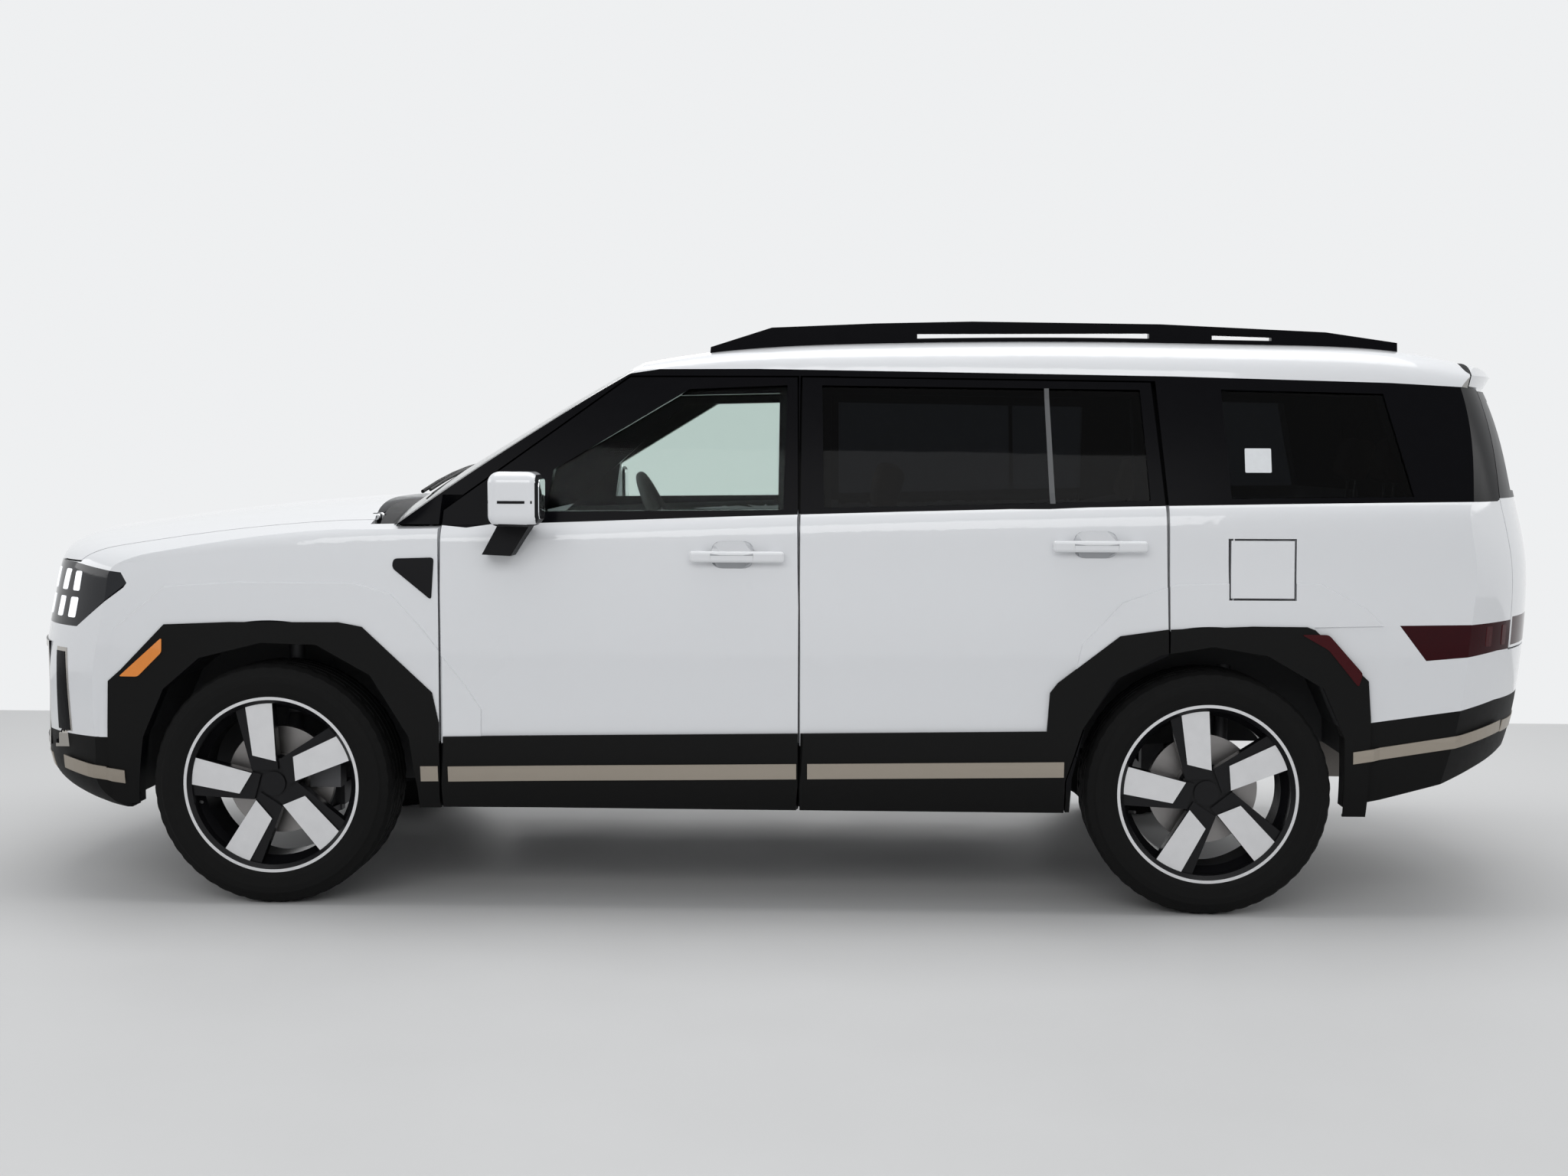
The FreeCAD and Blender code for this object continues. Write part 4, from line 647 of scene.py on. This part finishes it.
def on_screen(x, y, lift):
    hit = screen.ray_cast(Vector((x, y, 2.4)), Vector((0, 0, -1)))
    if hit[0] is None:
        return Vector((x, y, 1.22))
    return hit[0] + hit[1] * (lift if hit[1].z > 0 else -lift)


for k, (pivot, tip) in enumerate((((1.150, 0.52), (1.075, -0.06)), ((1.190, -0.08), (1.080, -0.62)))):
    span = [tuple(on_screen(pivot[0] - 0.02 + (tip[0] - pivot[0]) * f, pivot[1] + (tip[1] - pivot[1]) * f, 0.018))
            for f in (0.0, 0.25, 0.5, 0.75, 1.0)]
    tube("wiper_arm_%d" % k, span, 0.006, "body", SATIN)
    blade = [tuple(on_screen(p[0] - 0.03, p[1], 0.009)) for p in span]
    tube("wiper_blade_%d" % k, blade, 0.005, "body", SEAL)

# Seats.
TILT_SEAT = math.radians(-2.2)
TILT_BACK = math.radians(90 - 15.4) - math.pi


def seat(tag, x, y, width, floor_z, base):
    w = width / 2
    pillow("cushion_" + tag, (x + 0.262, y, base - 0.066), (0.262, w, 0.056), TILT_SEAT, "body", LEATHER,
           channels=5, bolster=0.3)
    pillow("back_" + tag, (x - 0.048, y, base + 0.196), (0.298, w, 0.058), TILT_BACK, "body", LEATHER,
           channels=6, bolster=0.3)
    pillow("headrest_" + tag, (x - 0.152, y, base + 0.622), (0.072, 0.118, 0.046), TILT_BACK, "body",
           LEATHER, channels=0, cells=8)
    for k, off in enumerate((-0.06, 0.06)):
        post = [(x - 0.140, y + off, base + 0.45), (x - 0.150, y + off, base + 0.58)]
        tube("headrest_post_%s_%d" % (tag, k), post, 0.006, "body", CHROME)
    mesh = bmesh.new()
    bmesh.ops.create_cube(mesh, size=1.0)
    low, high = floor_z, base - 0.112
    for vert in mesh.verts:
        vert.co = Vector((x + 0.25 + vert.co.x * (0.40 if vert.co.z < 0 else 0.46), y + vert.co.y * (width - 0.08),
                          low if vert.co.z < 0 else high))
    bmesh.ops.bevel(mesh, geom=mesh.edges[:], offset=0.012, segments=2, affect="EDGES")
    data = bpy.data.meshes.new("seat_base_" + tag)
    mesh.to_mesh(data)
    mesh.free()
    return finish_piece("seat_base_" + tag, data, "body", DASH)


first = seat("driver", -0.190, 0.390, 0.500, 0.346, 0.640)
seat("passenger", -0.190, -0.390, 0.500, 0.346, 0.640)
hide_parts("front_seats")
second = seat("second_left", -1.060, 0.290, 0.460, 0.441, 0.660)
seat("second_right", -1.060, -0.290, 0.460, 0.441, 0.660)
seat("third_left", -1.830, 0.260, 0.500, 0.521, 0.730)
seat("third_right", -1.830, -0.260, 0.500, 0.521, 0.730)
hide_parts("rear_seats")

# Camera at the photograph's place.
PHOTO_WIDTH = 2048
FOCAL = 2643
YAW, PITCH, ROLL = math.radians(2.38), math.radians(4.14), math.radians(0.187)
lens = bpy.data.cameras.new("camera")
lens.sensor_width = 36.0
lens.lens = FOCAL * lens.sensor_width / PHOTO_WIDTH
camera = bpy.data.objects.new("camera", lens)
bpy.context.scene.collection.objects.link(camera)
look = Vector((math.sin(YAW) * math.cos(PITCH), -math.cos(YAW) * math.cos(PITCH), -math.sin(PITCH)))
right = look.cross(Vector((0, 0, 1))).normalized()
up = right.cross(look)
right, up = (right * math.cos(ROLL) + up * math.sin(ROLL)), (up * math.cos(ROLL) - right * math.sin(ROLL))
turn = Matrix((right, up, -look)).transposed().to_4x4()
camera.matrix_world = Matrix.Translation((-0.282, 6.934, 1.408)) @ turn
bpy.context.scene.camera = camera

# Floor, world and lamps.
floor_mesh = bpy.data.meshes.new("floor")
floor_mesh.from_pydata([(*corner, 0) for corner in quad(-14, 14, -3.35, 9)], [], [(0, 1, 2, 3)])
floor = bpy.data.objects.new("floor", floor_mesh)
bpy.context.scene.collection.objects.link(floor)
floor_mesh.materials.append(material("floor_pale", (0.62, 0.62, 0.62), 0.55, mottle=0.02, scale=2))
world = bpy.data.worlds.new("studio")
bpy.context.scene.world = world
world.use_nodes = True
tree = world.node_tree
plain = tree.nodes["Background"]
plain.inputs["Color"].default_value = (0.86, 0.88, 0.90, 1)
plain.inputs["Strength"].default_value = 0.55
shown = tree.nodes.new("ShaderNodeBackground")
shown.inputs["Color"].default_value = (0.86, 0.87, 0.88, 1)
shown.inputs["Strength"].default_value = 1.0
rays = tree.nodes.new("ShaderNodeLightPath")
seen = tree.nodes.new("ShaderNodeMath")
seen.operation = "MAXIMUM"
tree.links.new(rays.outputs["Is Camera Ray"], seen.inputs[0])
tree.links.new(rays.outputs["Is Transmission Ray"], seen.inputs[1])
also = tree.nodes.new("ShaderNodeMath")
also.operation = "MAXIMUM"
tree.links.new(seen.outputs[0], also.inputs[0])
tree.links.new(rays.outputs["Is Glossy Ray"], also.inputs[1])
choose = tree.nodes.new("ShaderNodeMixShader")
tree.links.new(also.outputs[0], choose.inputs["Fac"])
tree.links.new(plain.outputs[0], choose.inputs[1])
tree.links.new(shown.outputs[0], choose.inputs[2])
tree.links.new(choose.outputs[0], tree.nodes["World Output"].inputs["Surface"])


def lamp(name, place, target, size, power):
    data = bpy.data.lights.new(name, "AREA")
    data.shape = "RECTANGLE"
    data.size, data.size_y = size
    data.energy = power
    obj = bpy.data.objects.new(name, data)
    obj.location = place
    obj.rotation_euler = (Vector(target) - Vector(place)).to_track_quat("-Z", "Y").to_euler()
    bpy.context.scene.collection.objects.link(obj)


lamp("overhead", (0, 0, 5.2), (0, 0, 0), (6.5, 3.0), 142)
lamp("left_wall", (0.5, 6.5, 3.6), (0, 0, 0.8), (6.0, 2.2), 112)
lamp("right_wall", (-0.5, -6.5, 3.6), (0, 0, 0.8), (6.0, 2.2), 112)
lamp("front_wall", (7.0, 0, 3.0), (0, 0, 0.8), (3.5, 2.2), 42)
lamp("rear_wall", (-7.0, 0, 3.0), (0, 0, 0.8), (3.5, 2.2), 58)
bpy.context.scene.view_settings.view_transform = "Standard"

bpy.context.view_layer.update()
